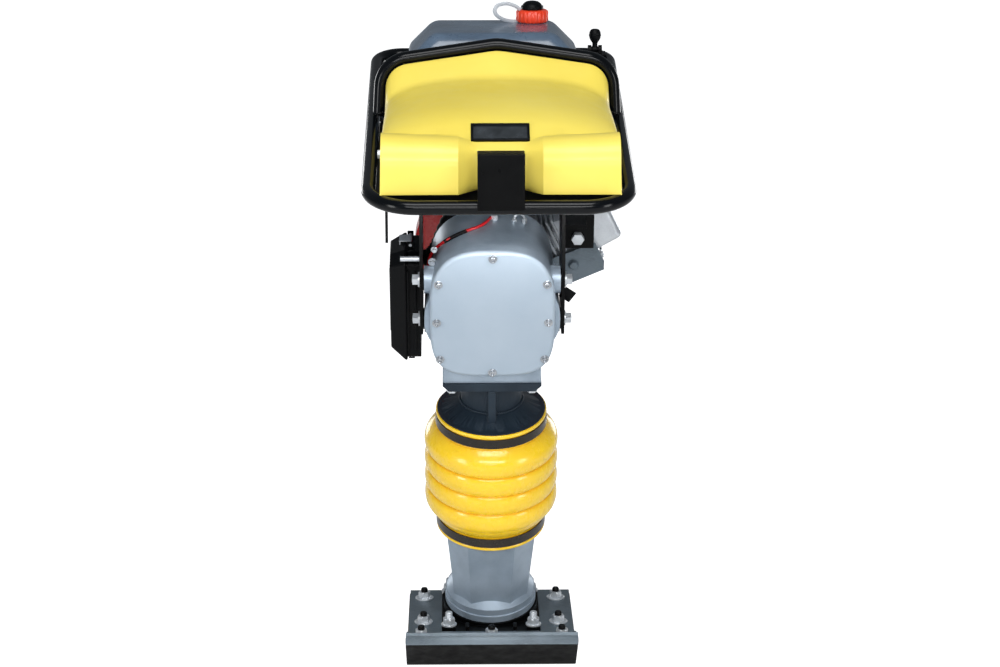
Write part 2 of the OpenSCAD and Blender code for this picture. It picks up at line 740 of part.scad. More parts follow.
module fan_cover() color(c_red) leaning() translate([0, 0, engine_s]) difference() {
    y = block_y[1];
    union() {
        y_rod(126, y, y + 30);
        translate([0, y + 30, 0]) rotate([-90, 0, 0]) cylinder(r1 = 126, r2 = 112, h = 10);
        y_rod(84, y + 39, y + 62);
        translate([0, y + 62, 0]) rotate([-90, 0, 0]) cylinder(r1 = 84, r2 = 74, h = 8);
    }
    y_rod(28, y - 1, y + 10);
    y_rod(123.5, y + 2.5, y + 28);
    translate([0, y + 27.9, 0]) rotate([-90, 0, 0]) cylinder(r1 = 123, r2 = 110.5, h = 9.6);
    y_rod(78, y + 35, y + 64);
    for (a = [0:30:330]) rotate([0, a, 0]) block([-4, y + 60, 34], [4, y + 72, 66]);
    block([-200, y - 1, -200], [200, y + 80, -92]);
}

module muffler() color(c_zinc) {
    leaning() difference() {
        union() {
            hull() for (x = [84, 176]) for (z = [706, 746]) y_rod(16, 176, 248, x, z, 32);
            y_rod(9, 246, 262, 160, 732);
        }
        hull() for (x = [84, 176]) for (z = [706, 746]) y_rod(13, 179, 245, x, z, 32);
        y_rod(6.5, 244, 264, 160, 732);
    }
    banked() difference() {
        block([140, 188, 50], [164, 216, 76]);
        block([144, 192, 49], [160, 212, 77]);
    }
}

module carburettor() color(c_casting) leaning() difference() {
    union() {
        block([20, 178, 668], [60, 216, 712]);
        y_rod(17, 168, 225.5, 40, 692);
        translate([40, 197, 630]) cylinder(r = 17, h = 40);
        block([16, 160, 668], [66, 168, 712]);
    }
    y_rod(10, 150, 240, 40, 692);
    for (y = [186, 208]) translate([40, y, 704.5]) cylinder(r = 3.05, h = 10);
    translate([0, 0, engine_s]) rotate([0, -bank, 0]) block([0, 100, 0], [140, 240, 52]);
}

module spindle_lever(x, y, z, len, turn) translate([x, y, z]) {
    cylinder(r = 3, h = 14, $fn = 24);
    translate([0, 0, 8]) rotate([0, 0, turn]) {
        block([0, -4, 0], [len, 4, 2.5]);
        translate([len, 0, 0]) cylinder(r = 5, h = 2.5);
        cylinder(r = 6, h = 2.5);
    }
}
module throttle_arm() color(c_zinc) leaning() spindle_lever(40, 186, 705, 24, 205);
module choke_lever() color(c_black) leaning() spindle_lever(40, 208, 705, 30, 60);

// Air hose from the filter box over the engine to the carburettor
hose_path = [[-113, 80, 618], [-102, 80, 618], [-88, 82, 634], [-68, 98, 676], [-40, 124, 704], [-10, 138, 706],
    [20, 144, 698], [40, 150, 692], [40, 159, 692]];
module intake_hose() color(c_rubber) leaning() tube(hose_path, 13, [0, 0.3, 1], sides = 16);

module air_filter_box() color(c_black) leaning() {
    x_prism(round_loop([[18, 467], [18, 636], [42, 648], [100, 648], [126, 622], [126, 459], [40, 455]], 8, 3),
        -136, -plate_x - plate_t);
    for (clip = clips) for (y = [52, 90]) translate([clip_x, y, clip[0]]) difference() {
        block([-5, 0, clip[1] > 0 ? -12 : -5], [5, 4, clip[1] > 0 ? 5 : 12]);
        y_rod(2.55, -1, 5);
    }
}

module air_filter_lid() color(c_black) leaning() hull() {
    x_prism(round_loop([[14, 463], [14, 640], [40, 652], [102, 652], [130, 624], [130, 455], [38, 451]], 8, 3),
        -139.5, -136.2);
    x_prism(round_loop([[26, 481], [26, 628], [48, 640], [96, 640], [118, 616], [118, 471], [48, 469]], 8, 3),
        -163, -161);
}

// Clip that hooks over the lid; it swings on a pin along Y
module filter_clip(clip) color(c_black) leaning() translate([clip_x, 56.3, clip[0]]) mirror([0, 0, clip[1] > 0 ? 0 : 1]) {
    y_rod(2.5, -4, 37.4);
    block([-16, 6, 1.2], [0, 27, 3.2]);
    block([-18, 6, -4.4], [-16, 27, 3.2]);
}
module filter_clip_top() filter_clip(clips[0]);
module filter_clip_bottom() filter_clip(clips[1]);

// Pull handle of the recoil starter, at the rope's way out of the fan cover
grip_turn = 30;
grip_y = 277;
module starter_grip() color(c_black) leaning() translate([0, grip_y, engine_s]) rotate([0, -grip_turn, 0]) {
    translate([0, 0, 84.3]) cylinder(r = 5, h = 12);
    hull() for (x = [-20, 20]) translate([x, 0, 101]) sphere(r = 8.5, $fn = 24);
}

// ---- Handle frame ----

function loop_z(y) = loop_front_z + (loop_rear_z - loop_front_z) * (y - loop_front_y) / (loop_rear_y - loop_front_y);
function under_loop(y) = loop_z(y) - tube_r / cos(loop_slope);
function loop_half(y) = loop_hw * (1 + (rear_share - 1) * (y - loop_front_y) / (loop_rear_y - loop_front_y));
side_plate_outline = [[-207, 608], [-150, 612], [-122, 650], [-118, 700], [-112, under_loop(-112)],
    [-206, under_loop(-206)], [-226, 720]];
module side_plates() color(c_black) upright() {
    for (side = [0, 1]) mirror([side, 0, 0]) {
        difference() {
            x_prism(side_plate_outline, plate_x, plate_x + plate_t);
            translate([0, 0, ram_z]) rotate([lean, 0, 0])
                for (m = mounts_ys) x_rod(5.2, plate_x - 5, plate_x + plate_t + 5, m[0], m[1]);
        }
        x_prism([[-206, under_loop(-206) - plate_t], [-112, under_loop(-112) - plate_t],
            [-112, under_loop(-112)], [-206, under_loop(-206)]], plate_x, loop_hw + (side == 0 ? 8 : -6));
    }
    translate([0, 0, ram_z]) rotate([lean, 0, 0]) {
        difference() {
            block([plate_x + plate_t, 52, 648], [164, 57, 706]);
            block([plate_x + plate_t - e, 28, 648], [plate_x + plate_t + 4, 57, 706]);
            y_rod(6.3, 50, 60, 138, 668);
        }
        block([plate_x + plate_t, 20, 700], [150, 57, 706]);
    }
}

module rubber_mounts() color(c_rubber) leaning() for (m = mounts_ys) for (side = [0, 1])
    mirror([side, 0, 0]) difference() {
        x_rod(17, mount_x, plate_x, m[0], m[1]);
        x_rod(5.1, mount_x + 6, plate_x + 1, m[0], m[1]);
    }

module mount_bolts() color(c_zinc) leaning() {
    outer = plate_x + plate_t;
    for (m = mounts_ys) for (side = [0, 1]) mirror([side, 0, 0]) {
        x_rod(5, 92, outer + 12, m[0], m[1]);
        difference() {
            x_rod(12, outer, outer + 2.5, m[0], m[1]);
            x_rod(4.9, outer - 1, outer + 4, m[0], m[1]);
        }
        translate([outer + 2.5, m[0], m[1]]) rotate([0, 90, 0]) hex_nut(16, 9);
    }
    x_rod(4, -outer - 30, -outer, -40, 679);
    y_rod(6, 42, 62, 138, 668);
    translate([138, 52, 668]) rotate([90, 0, 0]) hex_nut(18, 10);
}

loop_corners = [[-1, loop_front_y], [1, loop_front_y], [1, loop_rear_y], [-1, loop_rear_y]];
loop_path = round_loop([for (p = loop_corners) [p[0] * loop_half(p[1]) + handle_x, p[1], loop_z(p[1])]],
    [72, 72, 43, 43], 9);
hoop_path = round_path([[-189, hoop_y, 931], [-184, hoop_y, 1018], [0, hoop_y, 1045], [184, hoop_y, 1018],
    [189, hoop_y, 931]], [48, 70, 48], 7);

// Bent tube loop with the hoop behind the hood welded on
module handle_frame() color(c_black) upright() {
    tube(loop_path, tube_r, [0, -sin(loop_slope), cos(loop_slope)], closed = true, sides = 20);
    translate([hood_x, 0, 0]) tube(hoop_path, tube_r - 0.5, [0, 1, 0], sides = 20);
}

// Pieces about y = 0 that slope as the loop does
module along_loop() multmatrix([[1, 0, 0, 0], [0, 1, 0, 0], [0, tan(loop_slope), 1, 0]]) children();

// Two straps under the tank, hung from the loop
module tank_straps() color(c_black) upright() translate([handle_x, 0, 0]) for (y = [18, 150]) {
    low = 894;
    top = under_loop(y);
    half = loop_half(y);
    block([-170, y - 14, low], [170, y + 14, low + 4]);
    for (side = [0, 1]) mirror([side, 0, 0]) translate([0, y, 0]) along_loop()
        y_prism([[164, low], [172, low], [half - 2, top - 4], [half + 4, top - 4], [half + 4, top], [half - 6, top],
            [168, low + 4], [164, low + 4]], -14, 14);
}

// Bracket in front of the hood, and the plate that closes the loop under the hood
module front_bracket() color(c_black) upright() {
    translate([handle_x + 2, 0, 0]) {
        block([-35, loop_front_y - 16, 852], [35, loop_front_y - 11.2, 936]);
        block([-35, loop_front_y - 16, 932], [35, -385, 936]);
    }
    inner = [loop_front_y + 11.2, -62];
    translate([handle_x, 0, loop_z(0) - 3]) along_loop() linear_extrude(3)
        polygon(round_loop([for (p = [[-1, inner[0]], [1, inner[0]], [1, inner[1]], [-1, inner[1]]])
            [p[0] * (loop_half(p[1]) - tube_r), p[1]]], [61, 61, 2, 2]));
}

// Side profiles of the hood, front to back: at the bulges, and in the recess between them
hood_back = [[-318, 961], [-280, 977], [-190, 991], [-104, 998], [-61, 1040]];
bulge_profile = round_path(concat([[-364, 868], [-384, 882], [-384, 946], [-335, 953]], hood_back),
    [14, 26, 8, 30, 60, 80, 20], 6);
recess_profile = round_path(concat([[-352, 868], [-362, 884], [-362, 929.5], [-345, 942.5]], hood_back),
    [8, 4, 4, 30, 60, 80, 20], 6);
hood_outline = [[-174, 860], [174, 860], [177, 931], [172.5, 1000], [164, 1007], [0, 1032], [-164, 1007],
    [-172.5, 1000], [-177, 931]];
recess_x = [-49, 49];
hood_skirt = [[-61, 946], [-200, 906], [-330, 880]];
hood_x = handle_x + 2;
module hood() color(c_yellow) upright() translate([hood_x, 0, 0]) intersection() {
    union() {
        for (x = [[-180, recess_x[0]], [recess_x[1], 180]])
            x_prism(ribbon(bulge_profile, -3), x[0], x[1]);
        x_prism(ribbon(recess_profile, -3), recess_x[0] - e, recess_x[1] + e);
        for (x = [recess_x[0] - 3, recess_x[1]])
            x_prism(concat(bulge_profile, hood_skirt), x, x + 3);
        for (side = [0, 1]) mirror([side, 0, 0])
            x_prism(concat(bulge_profile, hood_skirt), 171, 180);
    }
    y_prism(hood_outline, -400, -40);
}

module hour_meter() color(c_black) upright() translate([hood_x, -331.5, 951.8])
    rotate([atan(18.5 / 27), 0, 0]) block([-44, -18, 0], [44, 18, 4]);

// Centre and radius of the tank's rounded corners: its foot, its shoulder and its top
tank_corners = [
    for (side = [-1, 1]) each [
        [[side * 132, -8, 916], 18], [[side * 132, 186, 916], 18],
        [[side * 121, -1, 1004], 20], [[side * 121, 182, 1004], 20],
        [[side * 88, 20, 1027], 28], [[side * 88, 166, 1027], 28]
    ]
];
module fuel_tank() color(c_tank) upright() translate([handle_x - 2, 0, 0]) difference() {
    union() {
        hull() {
            for (c = tank_corners) translate(c[0]) sphere(r = c[1], $fn = 24);
        }
        translate([66, 140, 1040]) cylinder(r = 21, h = 24);
        translate([-60, 80, 880]) cylinder(r = 11, h = 24);
    }
    hull() {
        for (c = tank_corners) translate(c[0]) sphere(r = c[1] - 4, $fn = 16);
    }
    translate([66, 140, 1040]) cylinder(r = 17, h = 40);
    translate([-60, 80, 870]) cylinder(r = 3, h = 50);
    x_rod(4.05, -80, -60, 80, 888);
}

cap_x = handle_x + 64;
module fuel_cap() color("orangered") upright() translate([cap_x, 140, 1055.5]) difference() {
    union() {
        cylinder(r = 26, h = 21);
        for (a = [0:15:345]) rotate([0, 0, a]) translate([26, 0, 2]) cylinder(r = 1.6, h = 17, $fn = 16);
    }
    translate([0, 0, -1]) cylinder(r = 21.3, h = 10);
    translate([0, 0, 8]) cylinder(r = 4.05, h = 20);
}

module vent_knob() color(c_black) upright() translate([cap_x, 140, 1055.5]) {
    translate([0, 0, 10]) cylinder(r = 4, h = 13);
    rotate_extrude() polygon([[0, 21.5], [17.5, 21.5], [18, 23], [17, 27], [14, 31.5], [9, 34.5], [4, 35.5], [0, 35.5]]);
}

module fuel_cock_lever() color(c_red) upright() translate([handle_x - 2, 80, 888]) {
    x_rod(4, -88, -64, 0, 0);
    translate([-90, 0, 0]) block([-2, -5, -26], [2, 5, 6]);
}

throttle_at = [handle_x + 174, 218, loop_z(218) + tube_r / cos(loop_slope) + 8.5];
module throttle_clamp() color(c_black) upright() translate(throttle_at) difference() {
    union() {
        for (x = [-12, 6]) {
            x_rod(7, x, x + 6);
            block([x, -7, -7], [x + 6, 7, 0]);
        }
        along_loop() block([-12, -9, -8.5], [18, 9, -6]);
    }
    x_rod(4.05, -13, 13);
}

module throttle_lever() color(c_black) upright() translate(throttle_at) {
    x_rod(4, -12, 12);
    x_rod(5, -5.5, 5.5);
    block([-4, -4, 0], [4, 4, 18]);
    hull() for (z = [21, 27]) x_rod(8, -9, 9, 0, z, 32);
}

// Stop wire from its eyelet on top of the crankcase down the left side
wire_path = [[-1, 30, 715.2], [-16, 4, 715.2], [-40, -10, 712.4], [-56.5, -15, 707.2], [-74.8, -14, 695.6],
    [-89.8, -4, 677.4], [-98, 6, 658], [-101, 12, 642], [-101, 16, 628]];
module stop_wire() color(c_red) leaning() tube(wire_path, 2.4, [0, 1, 0], sides = 10);

sole_plate();
shoe_block();
deck_plates();
shoe_bolts();
shoe_nuts();
foot_base();
foot_bolts();
ram_housing();
spring_cylinder();
spring_cap();
ram_springs();
lower_clamp();
bellows();
ram_piston();
con_rod();
rod_pins();
crank_gear();
clutch_drum();
engine_crankshaft();
flywheel_fan();
clutch_shoe_left();
clutch_shoe_right();
guide_cylinder();
guide_bush();
upper_clamp();
crankcase();
crankcase_cover();
cover_screws();
shaft_bearings();
engine_bolts();
engine_block();
cylinder_head();
valve_cover();
cylinder_shroud();
fan_cover();
muffler();
carburettor();
intake_hose();
air_filter_box();
air_filter_lid();
filter_clip_top();
filter_clip_bottom();
starter_grip();
throttle_arm();
choke_lever();
side_plates();
rubber_mounts();
mount_bolts();
handle_frame();
tank_straps();
front_bracket();
hood();
hour_meter();
fuel_tank();
fuel_cap();
vent_knob();
fuel_cock_lever();
throttle_clamp();
throttle_lever();
stop_wire();
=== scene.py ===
"""Jumping jack rammer: the visual model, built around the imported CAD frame."""
import json
import math

import bmesh
import bpy
from mathutils import Matrix, Vector

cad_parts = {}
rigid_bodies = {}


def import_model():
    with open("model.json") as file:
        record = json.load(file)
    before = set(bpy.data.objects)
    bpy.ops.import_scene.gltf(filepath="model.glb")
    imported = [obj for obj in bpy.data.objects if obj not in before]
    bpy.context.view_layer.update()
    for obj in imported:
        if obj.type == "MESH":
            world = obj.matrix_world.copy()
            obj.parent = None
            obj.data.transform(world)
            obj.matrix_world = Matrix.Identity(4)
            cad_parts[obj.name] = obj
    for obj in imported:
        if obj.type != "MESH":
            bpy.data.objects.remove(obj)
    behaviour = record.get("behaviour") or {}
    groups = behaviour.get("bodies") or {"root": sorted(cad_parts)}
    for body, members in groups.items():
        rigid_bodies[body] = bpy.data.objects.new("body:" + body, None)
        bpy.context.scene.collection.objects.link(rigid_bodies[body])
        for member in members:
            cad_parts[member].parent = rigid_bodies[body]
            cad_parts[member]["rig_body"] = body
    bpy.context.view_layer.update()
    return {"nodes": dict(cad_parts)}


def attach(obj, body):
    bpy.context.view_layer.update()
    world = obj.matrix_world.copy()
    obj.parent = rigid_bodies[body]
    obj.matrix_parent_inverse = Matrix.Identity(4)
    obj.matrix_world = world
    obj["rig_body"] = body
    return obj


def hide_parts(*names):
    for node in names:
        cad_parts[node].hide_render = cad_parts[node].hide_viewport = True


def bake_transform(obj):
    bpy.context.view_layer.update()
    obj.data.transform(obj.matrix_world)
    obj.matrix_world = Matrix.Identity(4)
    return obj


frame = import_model()

# ---- Frames: the lengths of the pieces are in millimetres, in one of these four ----

MM = Matrix.Scale(0.001, 4)
LEAN = math.radians(15)
RAM_FOOT = Vector((0, -0.015, 0.087))
ENGINE_S = 560      # height of the engine's shaft along the ram
HANDLE_X = 8        # the handle stands this far right of the ram

LEVEL = Matrix.Translation((0, RAM_FOOT.y, 0)) @ MM         # upright, under the shoe
RAM = Matrix.Translation(RAM_FOOT) @ Matrix.Rotation(LEAN, 4, "X") @ MM
HANDLE = LEVEL @ Matrix.Translation((HANDLE_X, 0, 0))
HOOD = LEVEL @ Matrix.Translation((HANDLE_X + 2, 0, 0))

# ---- Camera, light and floor ----


def add_camera():
    """The photograph's view: level with the hood, from a little to the left, looking 15 degrees down."""
    data = bpy.data.cameras.new("camera")
    data.sensor_width = 36
    data.lens = 86.4
    data.shift_x = 0.008
    data.clip_end = 50
    camera = bpy.data.objects.new("camera", data)
    camera.location = (-0.056, -3.886, 1.591)
    camera.rotation_euler = (math.radians(75), 0, math.radians(-0.87))
    bpy.context.scene.collection.objects.link(camera)
    bpy.context.scene.camera = camera


def add_area(name, place, target, size, power, size_y=None):
    """A soft box aimed at the target, size wide and size_y high."""
    data = bpy.data.lights.new(name, "AREA")
    data.shape = "RECTANGLE"
    data.size = size
    data.size_y = size_y or size
    data.energy = power
    light = bpy.data.objects.new(name, data)
    light.location = place
    light.visible_camera = False
    light.rotation_euler = (Vector(target) - Vector(place)).to_track_quat("-Z", "Y").to_euler()
    bpy.context.scene.collection.objects.link(light)


def add_lights():
    """Soft boxes round the machine, and a pale world that the camera sees as white."""
    middle = (0, 0, 0.55)
    add_area("left_light", (-2.3, -2.2, 0.9), middle, 0.7, 21, 1.3)
    add_area("right_light", (2.3, -2.1, 0.9), middle, 0.7, 17, 1.3)
    add_area("front_light", (0, -3.4, 1.0), middle, 1.0, 5, 0.25)
    add_area("high_light", (0, -3.7, 2.2), (0, 0, 0.65), 2.6, 52, 0.6)
    add_area("top_light", (0, -1.5, 3.0), (0, 0, 0.9), 1.6, 34, 1.0)
    add_area("back_left_light", (-1.7, 2.5, 0.8), middle, 1.0, 13)
    add_area("back_right_light", (1.7, 2.5, 0.8), middle, 1.0, 13)
    add_area("case_top_light", (0.02, -0.385, 0.815), (0.02, -0.13, 0.765), 0.3, 0.36, 0.03)
    world = bpy.data.worlds.new("world")
    world.use_nodes = True
    tree = world.node_tree
    tree.nodes["Background"].inputs["Color"].default_value = (0.86, 0.93, 1, 1)
    seen = tree.nodes.new("ShaderNodeLightPath").outputs["Is Camera Ray"]
    strength = tree.nodes.new("ShaderNodeMapRange")
    strength.inputs["To Min"].default_value = 0.2
    strength.inputs["To Max"].default_value = 1.2
    tree.links.new(seen, strength.inputs["Value"])
    tree.links.new(strength.outputs["Result"], tree.nodes["Background"].inputs["Strength"])
    bpy.context.scene.world = world
    bpy.context.scene.view_settings.view_transform = "Standard"


def add_floor():
    """A wide white floor."""
    mesh = bpy.data.meshes.new("floor")
    mesh.from_pydata([(-20, -20, 0), (20, -20, 0), (20, 20, 0), (-20, 20, 0)], [], [(0, 1, 2, 3)])
    floor = bpy.data.objects.new("floor", mesh)
    bpy.context.scene.collection.objects.link(floor)
    mesh.materials.append(M["floor"])


# ---- Materials ----


class Nodes:
    """A material's node tree, with its nodes made and joined in one call each."""

    def __init__(self, name):
        self.material = bpy.data.materials.new(name)
        self.material.use_nodes = True
        self.tree = self.material.node_tree
        self.shader = self.tree.nodes["Principled BSDF"]
        self.point = self.add("ShaderNodeTexCoord").outputs["Object"]

    def add(self, kind, inputs=None, **settings):
        node = self.tree.nodes.new(kind)
        for key, value in settings.items():
            setattr(node, key, value)
        for key, value in (inputs or {}).items():
            self.join(value, node.inputs[key])
        return node

    def join(self, value, socket):
        if isinstance(value, bpy.types.NodeSocket):
            self.tree.links.new(value, socket)
        else:
            socket.default_value = value

    def noise(self, scale, detail=4, roughness=0.55, stretch=(1, 1, 1)):
        place = self.add("ShaderNodeMapping", {"Vector": self.point, "Scale": stretch}).outputs[0]
        made = self.add("ShaderNodeTexNoise", {"Vector": place, "Scale": scale, "Detail": detail,
                                               "Roughness": roughness})
        return made.outputs["Fac"]

    def spread(self, value, low, high, to_low=0.0, to_high=1.0):
        made = self.add("ShaderNodeMapRange", {"Value": value, "From Min": low, "From Max": high,
                                               "To Min": to_low, "To Max": to_high})
        return made.outputs["Result"]

    def maths(self, operation, a, b=0.0):
        return self.add("ShaderNodeMath", {0: a, 1: b}, operation=operation).outputs[0]

    def mix(self, amount, a, b):
        node = self.add("ShaderNodeMix", data_type="RGBA")
        self.join(amount, node.inputs["Factor"])
        self.join(a, node.inputs["A"])
        self.join(b, node.inputs["B"])
        return node.outputs["Result"]

    def edges(self, radius, low=0.06, high=0.35):
        """1 along worn outer edges, 0 on flats."""
        bevel = self.add("ShaderNodeBevel", {"Radius": radius}, samples=4).outputs["Normal"]
        normal = self.add("ShaderNodeNewGeometry").outputs["Normal"]
        dot = self.add("ShaderNodeVectorMath", {0: bevel, 1: normal}, operation="DOT_PRODUCT").outputs["Value"]
        return self.spread(self.maths("SUBTRACT", 1.0, dot), low, high)

    def bump(self, height, strength, distance):
        made = self.add("ShaderNodeBump", {"Height": height, "Strength": strength, "Distance": distance})
        self.join(made.outputs["Normal"], self.shader.inputs["Normal"])

    def set(self, **values):
        for key, value in values.items():
            self.join(value, self.shader.inputs[key.replace("_", " ")])
        return self.material


def rgb(r, g, b):
    """A colour given in 0 to 255 display values, as linear light."""
    return tuple(((v / 255 + 0.055) / 1.055) ** 2.4 if v > 10 else v / 3294 for v in (r, g, b)) + (1,)


def paint(name, colour, dark, rough=0.3, metal=0.0, coat=0.0, grain=900, grain_height=0.00003, blotch=9,
          wear=None, wear_colour=None, shine=0.5):
    """Paint or moulded plastic: soft colour drift, an uneven gloss, a fine surface grain and, if asked, worn edges."""
    n = Nodes(name)
    drift = n.spread(n.noise(blotch, 5), 0.3, 0.7)
    base = n.mix(drift, dark, colour)
    gloss = n.spread(n.noise(blotch * 5, 6), 0.3, 0.7, rough * 0.8, min(1, rough * 1.25))
    if wear:
        edge = n.maths("MULTIPLY", n.edges(wear), n.spread(n.noise(160, 6, 0.7), 0.42, 0.6))
        base = n.mix(edge, base, wear_colour)
    n.bump(n.noise(grain, 3), 0.5, grain_height)
    return n.set(Base_Color=base, Roughness=gloss, Metallic=metal, Coat_Weight=coat, Coat_Roughness=0.12,
                 Specular_IOR_Level=shine)


def bare_metal(name, colour, dark, rough, stretch=(1, 1, 1), streak=300, metal=1.0, height=0.00002):
    """Bare or plated metal: fine streaks in tone and gloss."""
    n = Nodes(name)
    streaks = n.noise(streak, 6, 0.65, stretch)
    stain = n.spread(n.noise(26, 5), 0.35, 0.7)
    base = n.mix(n.maths("MULTIPLY", stain, n.spread(streaks, 0.3, 0.75)), colour, dark)
    n.bump(streaks, 0.4, height)
    return n.set(Base_Color=base, Roughness=n.spread(streaks, 0.3, 0.7, rough * 0.75, rough * 1.3), Metallic=metal)


def casting(name, colour, dark, rough, height, metal=0.35, wear=0.0012):
    """Silver-painted sand casting: a coarse skin under a fine one, brighter on its edges."""
    n = Nodes(name)
    skin = n.noise(420, 5, 0.6)
    lumps = n.noise(70, 3, 0.5)
    base = n.mix(n.spread(n.noise(14, 5), 0.3, 0.72), dark, colour)
    base = n.mix(n.maths("MULTIPLY", n.edges(wear), 0.5), base, rgb(222, 228, 235))
    n.bump(n.maths("ADD", skin, n.maths("MULTIPLY", lumps, 1.5)), 0.6, height)
    return n.set(Base_Color=base, Roughness=n.spread(skin, 0.3, 0.7, rough * 0.85, rough * 1.2), Metallic=metal)


def moulded_rubber(name, colour, fold_shade_and_tone_colour, rough, coat):
    """Glossy polyurethane: painted shade in the folds, where an ambient-occlusion mask darkens the colour, fine ripples
    and a little light inside.
    """
    n = Nodes(name)
    # Painted shade: the ambient-occlusion mask pulls the colour toward the deeper orange in the folds and grooves.
    fold_shade_mask = n.add("ShaderNodeAmbientOcclusion", {"Distance": 0.03}, samples=6).outputs["AO"]
    base = n.mix(n.spread(fold_shade_mask, 0.25, 0.98), fold_shade_and_tone_colour, colour)
    # A faint random tone drift toward the same deeper orange.
    base = n.mix(n.spread(n.noise(22, 4), 0.35, 0.75, 0.0, 0.1), base, fold_shade_and_tone_colour)
    n.bump(n.noise(260, 4), 0.35, 0.00006)
    n.set(Roughness=n.spread(n.noise(55, 5), 0.3, 0.7, rough * 0.8, rough * 1.3))
    return n.set(Base_Color=base, Coat_Weight=coat, Coat_Roughness=0.08, Subsurface_Weight=0.06,
                 Subsurface_Radius=(0.004, 0.002, 0.001), Subsurface_Scale=1.0)


def laminate(name):
    """Dark pressed laminate in thin level layers."""
    n = Nodes(name)
    layers = n.noise(60, 6, 0.6, (1, 1, 14))
    base = n.mix(n.spread(layers, 0.38, 0.66), rgb(28, 22, 19), rgb(66, 50, 40))
    n.bump(layers, 0.5, 0.0002)
    return n.set(Base_Color=base, Roughness=n.spread(layers, 0.3, 0.7, 0.5, 0.75))


def glowing_floor(name):
    """White, with a glow that keeps it pale to the far edge, most of it for the camera only."""
    n = Nodes(name)
    base = n.mix(n.spread(n.noise(1.5, 4), 0.3, 0.7), (0.78, 0.78, 0.78, 1), (0.82, 0.82, 0.82, 1))
    seen = n.add("ShaderNodeLightPath").outputs["Is Camera Ray"]
    glow = n.maths("ADD", n.spread(n.noise(0.8, 3), 0.3, 0.7, 0.14, 0.16), n.maths("MULTIPLY", seen, 0.8))
    return n.set(Base_Color=base, Roughness=0.8, Specular_IOR_Level=0.1, Emission_Color=(1, 1, 1, 1),
                 Emission_Strength=glow)


def dark_window(name):
    """A dark pane under clear gloss."""
    n = Nodes(name)
    base = n.mix(n.spread(n.noise(30, 3), 0.4, 0.7), rgb(30, 34, 37), rgb(56, 61, 66))
    return n.set(Base_Color=base, Roughness=n.spread(n.noise(90, 3), 0.3, 0.7, 0.08, 0.2), Coat_Weight=1.0)


M = {
    "floor": glowing_floor("pale_floor"),
    "black": paint("black_enamel", rgb(9, 10, 11), rgb(5, 5, 6), 0.34, wear=0.0008,
                   wear_colour=rgb(46, 49, 53), shine=0.1),
    "tube": paint("black_tube_enamel", rgb(6, 9, 13), rgb(4, 6, 9), 0.2, coat=0.22, grain=500, shine=0.12),
    "sole": paint("worn_black_steel", rgb(8, 8, 9), rgb(5, 5, 6), 0.45, wear=0.0015,
                  wear_colour=rgb(110, 114, 120), shine=0.07),
    "neck": paint("black_cast_paint", rgb(42, 54, 65), rgb(28, 38, 48), 0.4, coat=0.04, shine=0.2),
    "deck": bare_metal("rolled_steel", rgb(106, 118, 127), rgb(74, 84, 92), 0.42, (1, 14, 1), 160, metal=0.45),
    "zinc": bare_metal("zinc_plating", rgb(214, 219, 224), rgb(150, 156, 163), 0.33, (1, 1, 3), 420, metal=0.55),
    "steel": bare_metal("ground_steel", rgb(196, 200, 205), rgb(130, 134, 140), 0.26, (1, 1, 12), 380),
    "cast": casting("sand_casting", rgb(174, 189, 203), rgb(138, 153, 168), 0.38, 0.00012),
    "cover": casting("smooth_cover", rgb(168, 182, 195), rgb(161, 176, 190), 0.4, 0.00003, 0.12, 0.0009),
    "engine": casting("engine_casting", rgb(186, 191, 197), rgb(132, 138, 144), 0.4, 0.00012, 0.4, 0.001),
    "bellows": moulded_rubber("yellow_polyurethane", rgb(255, 212, 38), rgb(240, 166, 6), 0.26, 0.5),
    "hood": paint("yellow_hood", rgb(248, 227, 104), rgb(244, 220, 88), 0.42, coat=0.12, grain=700, blotch=7),
    "tank": paint("milky_tank", rgb(96, 116, 138), rgb(70, 86, 104), 0.3, coat=0.35, grain=600),
    "orange": paint("orange_cap", rgb(246, 74, 34), rgb(226, 52, 20), 0.32, coat=0.3),
    "red": paint("red_enamel", rgb(190, 26, 26), rgb(160, 16, 18), 0.26, coat=0.6),
    "plastic": paint("black_plastic", rgb(8, 10, 12), rgb(5, 6, 8), 0.42, grain=1500, grain_height=0.00006, shine=0.12),
    "rubber": paint("black_rubber", rgb(12, 12, 13), rgb(8, 8, 9), 0.62, grain=700, grain_height=0.0001, shine=0.15),
    "band": paint("clamp_band", rgb(50, 45, 38), rgb(30, 27, 24), 0.3, metal=0.5, coat=0.2),
    "lining": paint("friction_lining", rgb(84, 66, 52), rgb(50, 40, 34), 0.7, grain=500, grain_height=0.0002),
    "strap": paint("pale_strap", rgb(206, 210, 214), rgb(184, 188, 194), 0.45),
    "bronze": bare_metal("bronze", rgb(196, 150, 84), rgb(140, 104, 56), 0.34),
    "wire": paint("red_wire", rgb(214, 36, 40), rgb(180, 22, 26), 0.35),
    "laminate": laminate("laminate"),
    "window": dark_window("meter_window"),
}

# ---- Mesh helpers ----


def finish_piece(obj, material, body, stands_for=(), sharp=35):
    mesh = obj.data
    mesh.materials.clear()
    mesh.materials.append(M[material])
    mesh.shade_smooth()
    mesh.set_sharp_from_angle(angle=math.radians(sharp))
    if body:
        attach(obj, body)
    if stands_for:
        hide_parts(*stands_for)
    return obj


def link_mesh(name, verts, faces, place):
    mesh = bpy.data.meshes.new(name)
    mesh.from_pydata([place @ Vector(v) for v in verts], [], faces)
    bm = bmesh.new()
    bm.from_mesh(mesh)
    bmesh.ops.recalc_face_normals(bm, faces=bm.faces)
    bm.to_mesh(mesh)
    bm.free()
    obj = bpy.data.objects.new(name, mesh)
    bpy.context.scene.collection.objects.link(obj)
    return obj


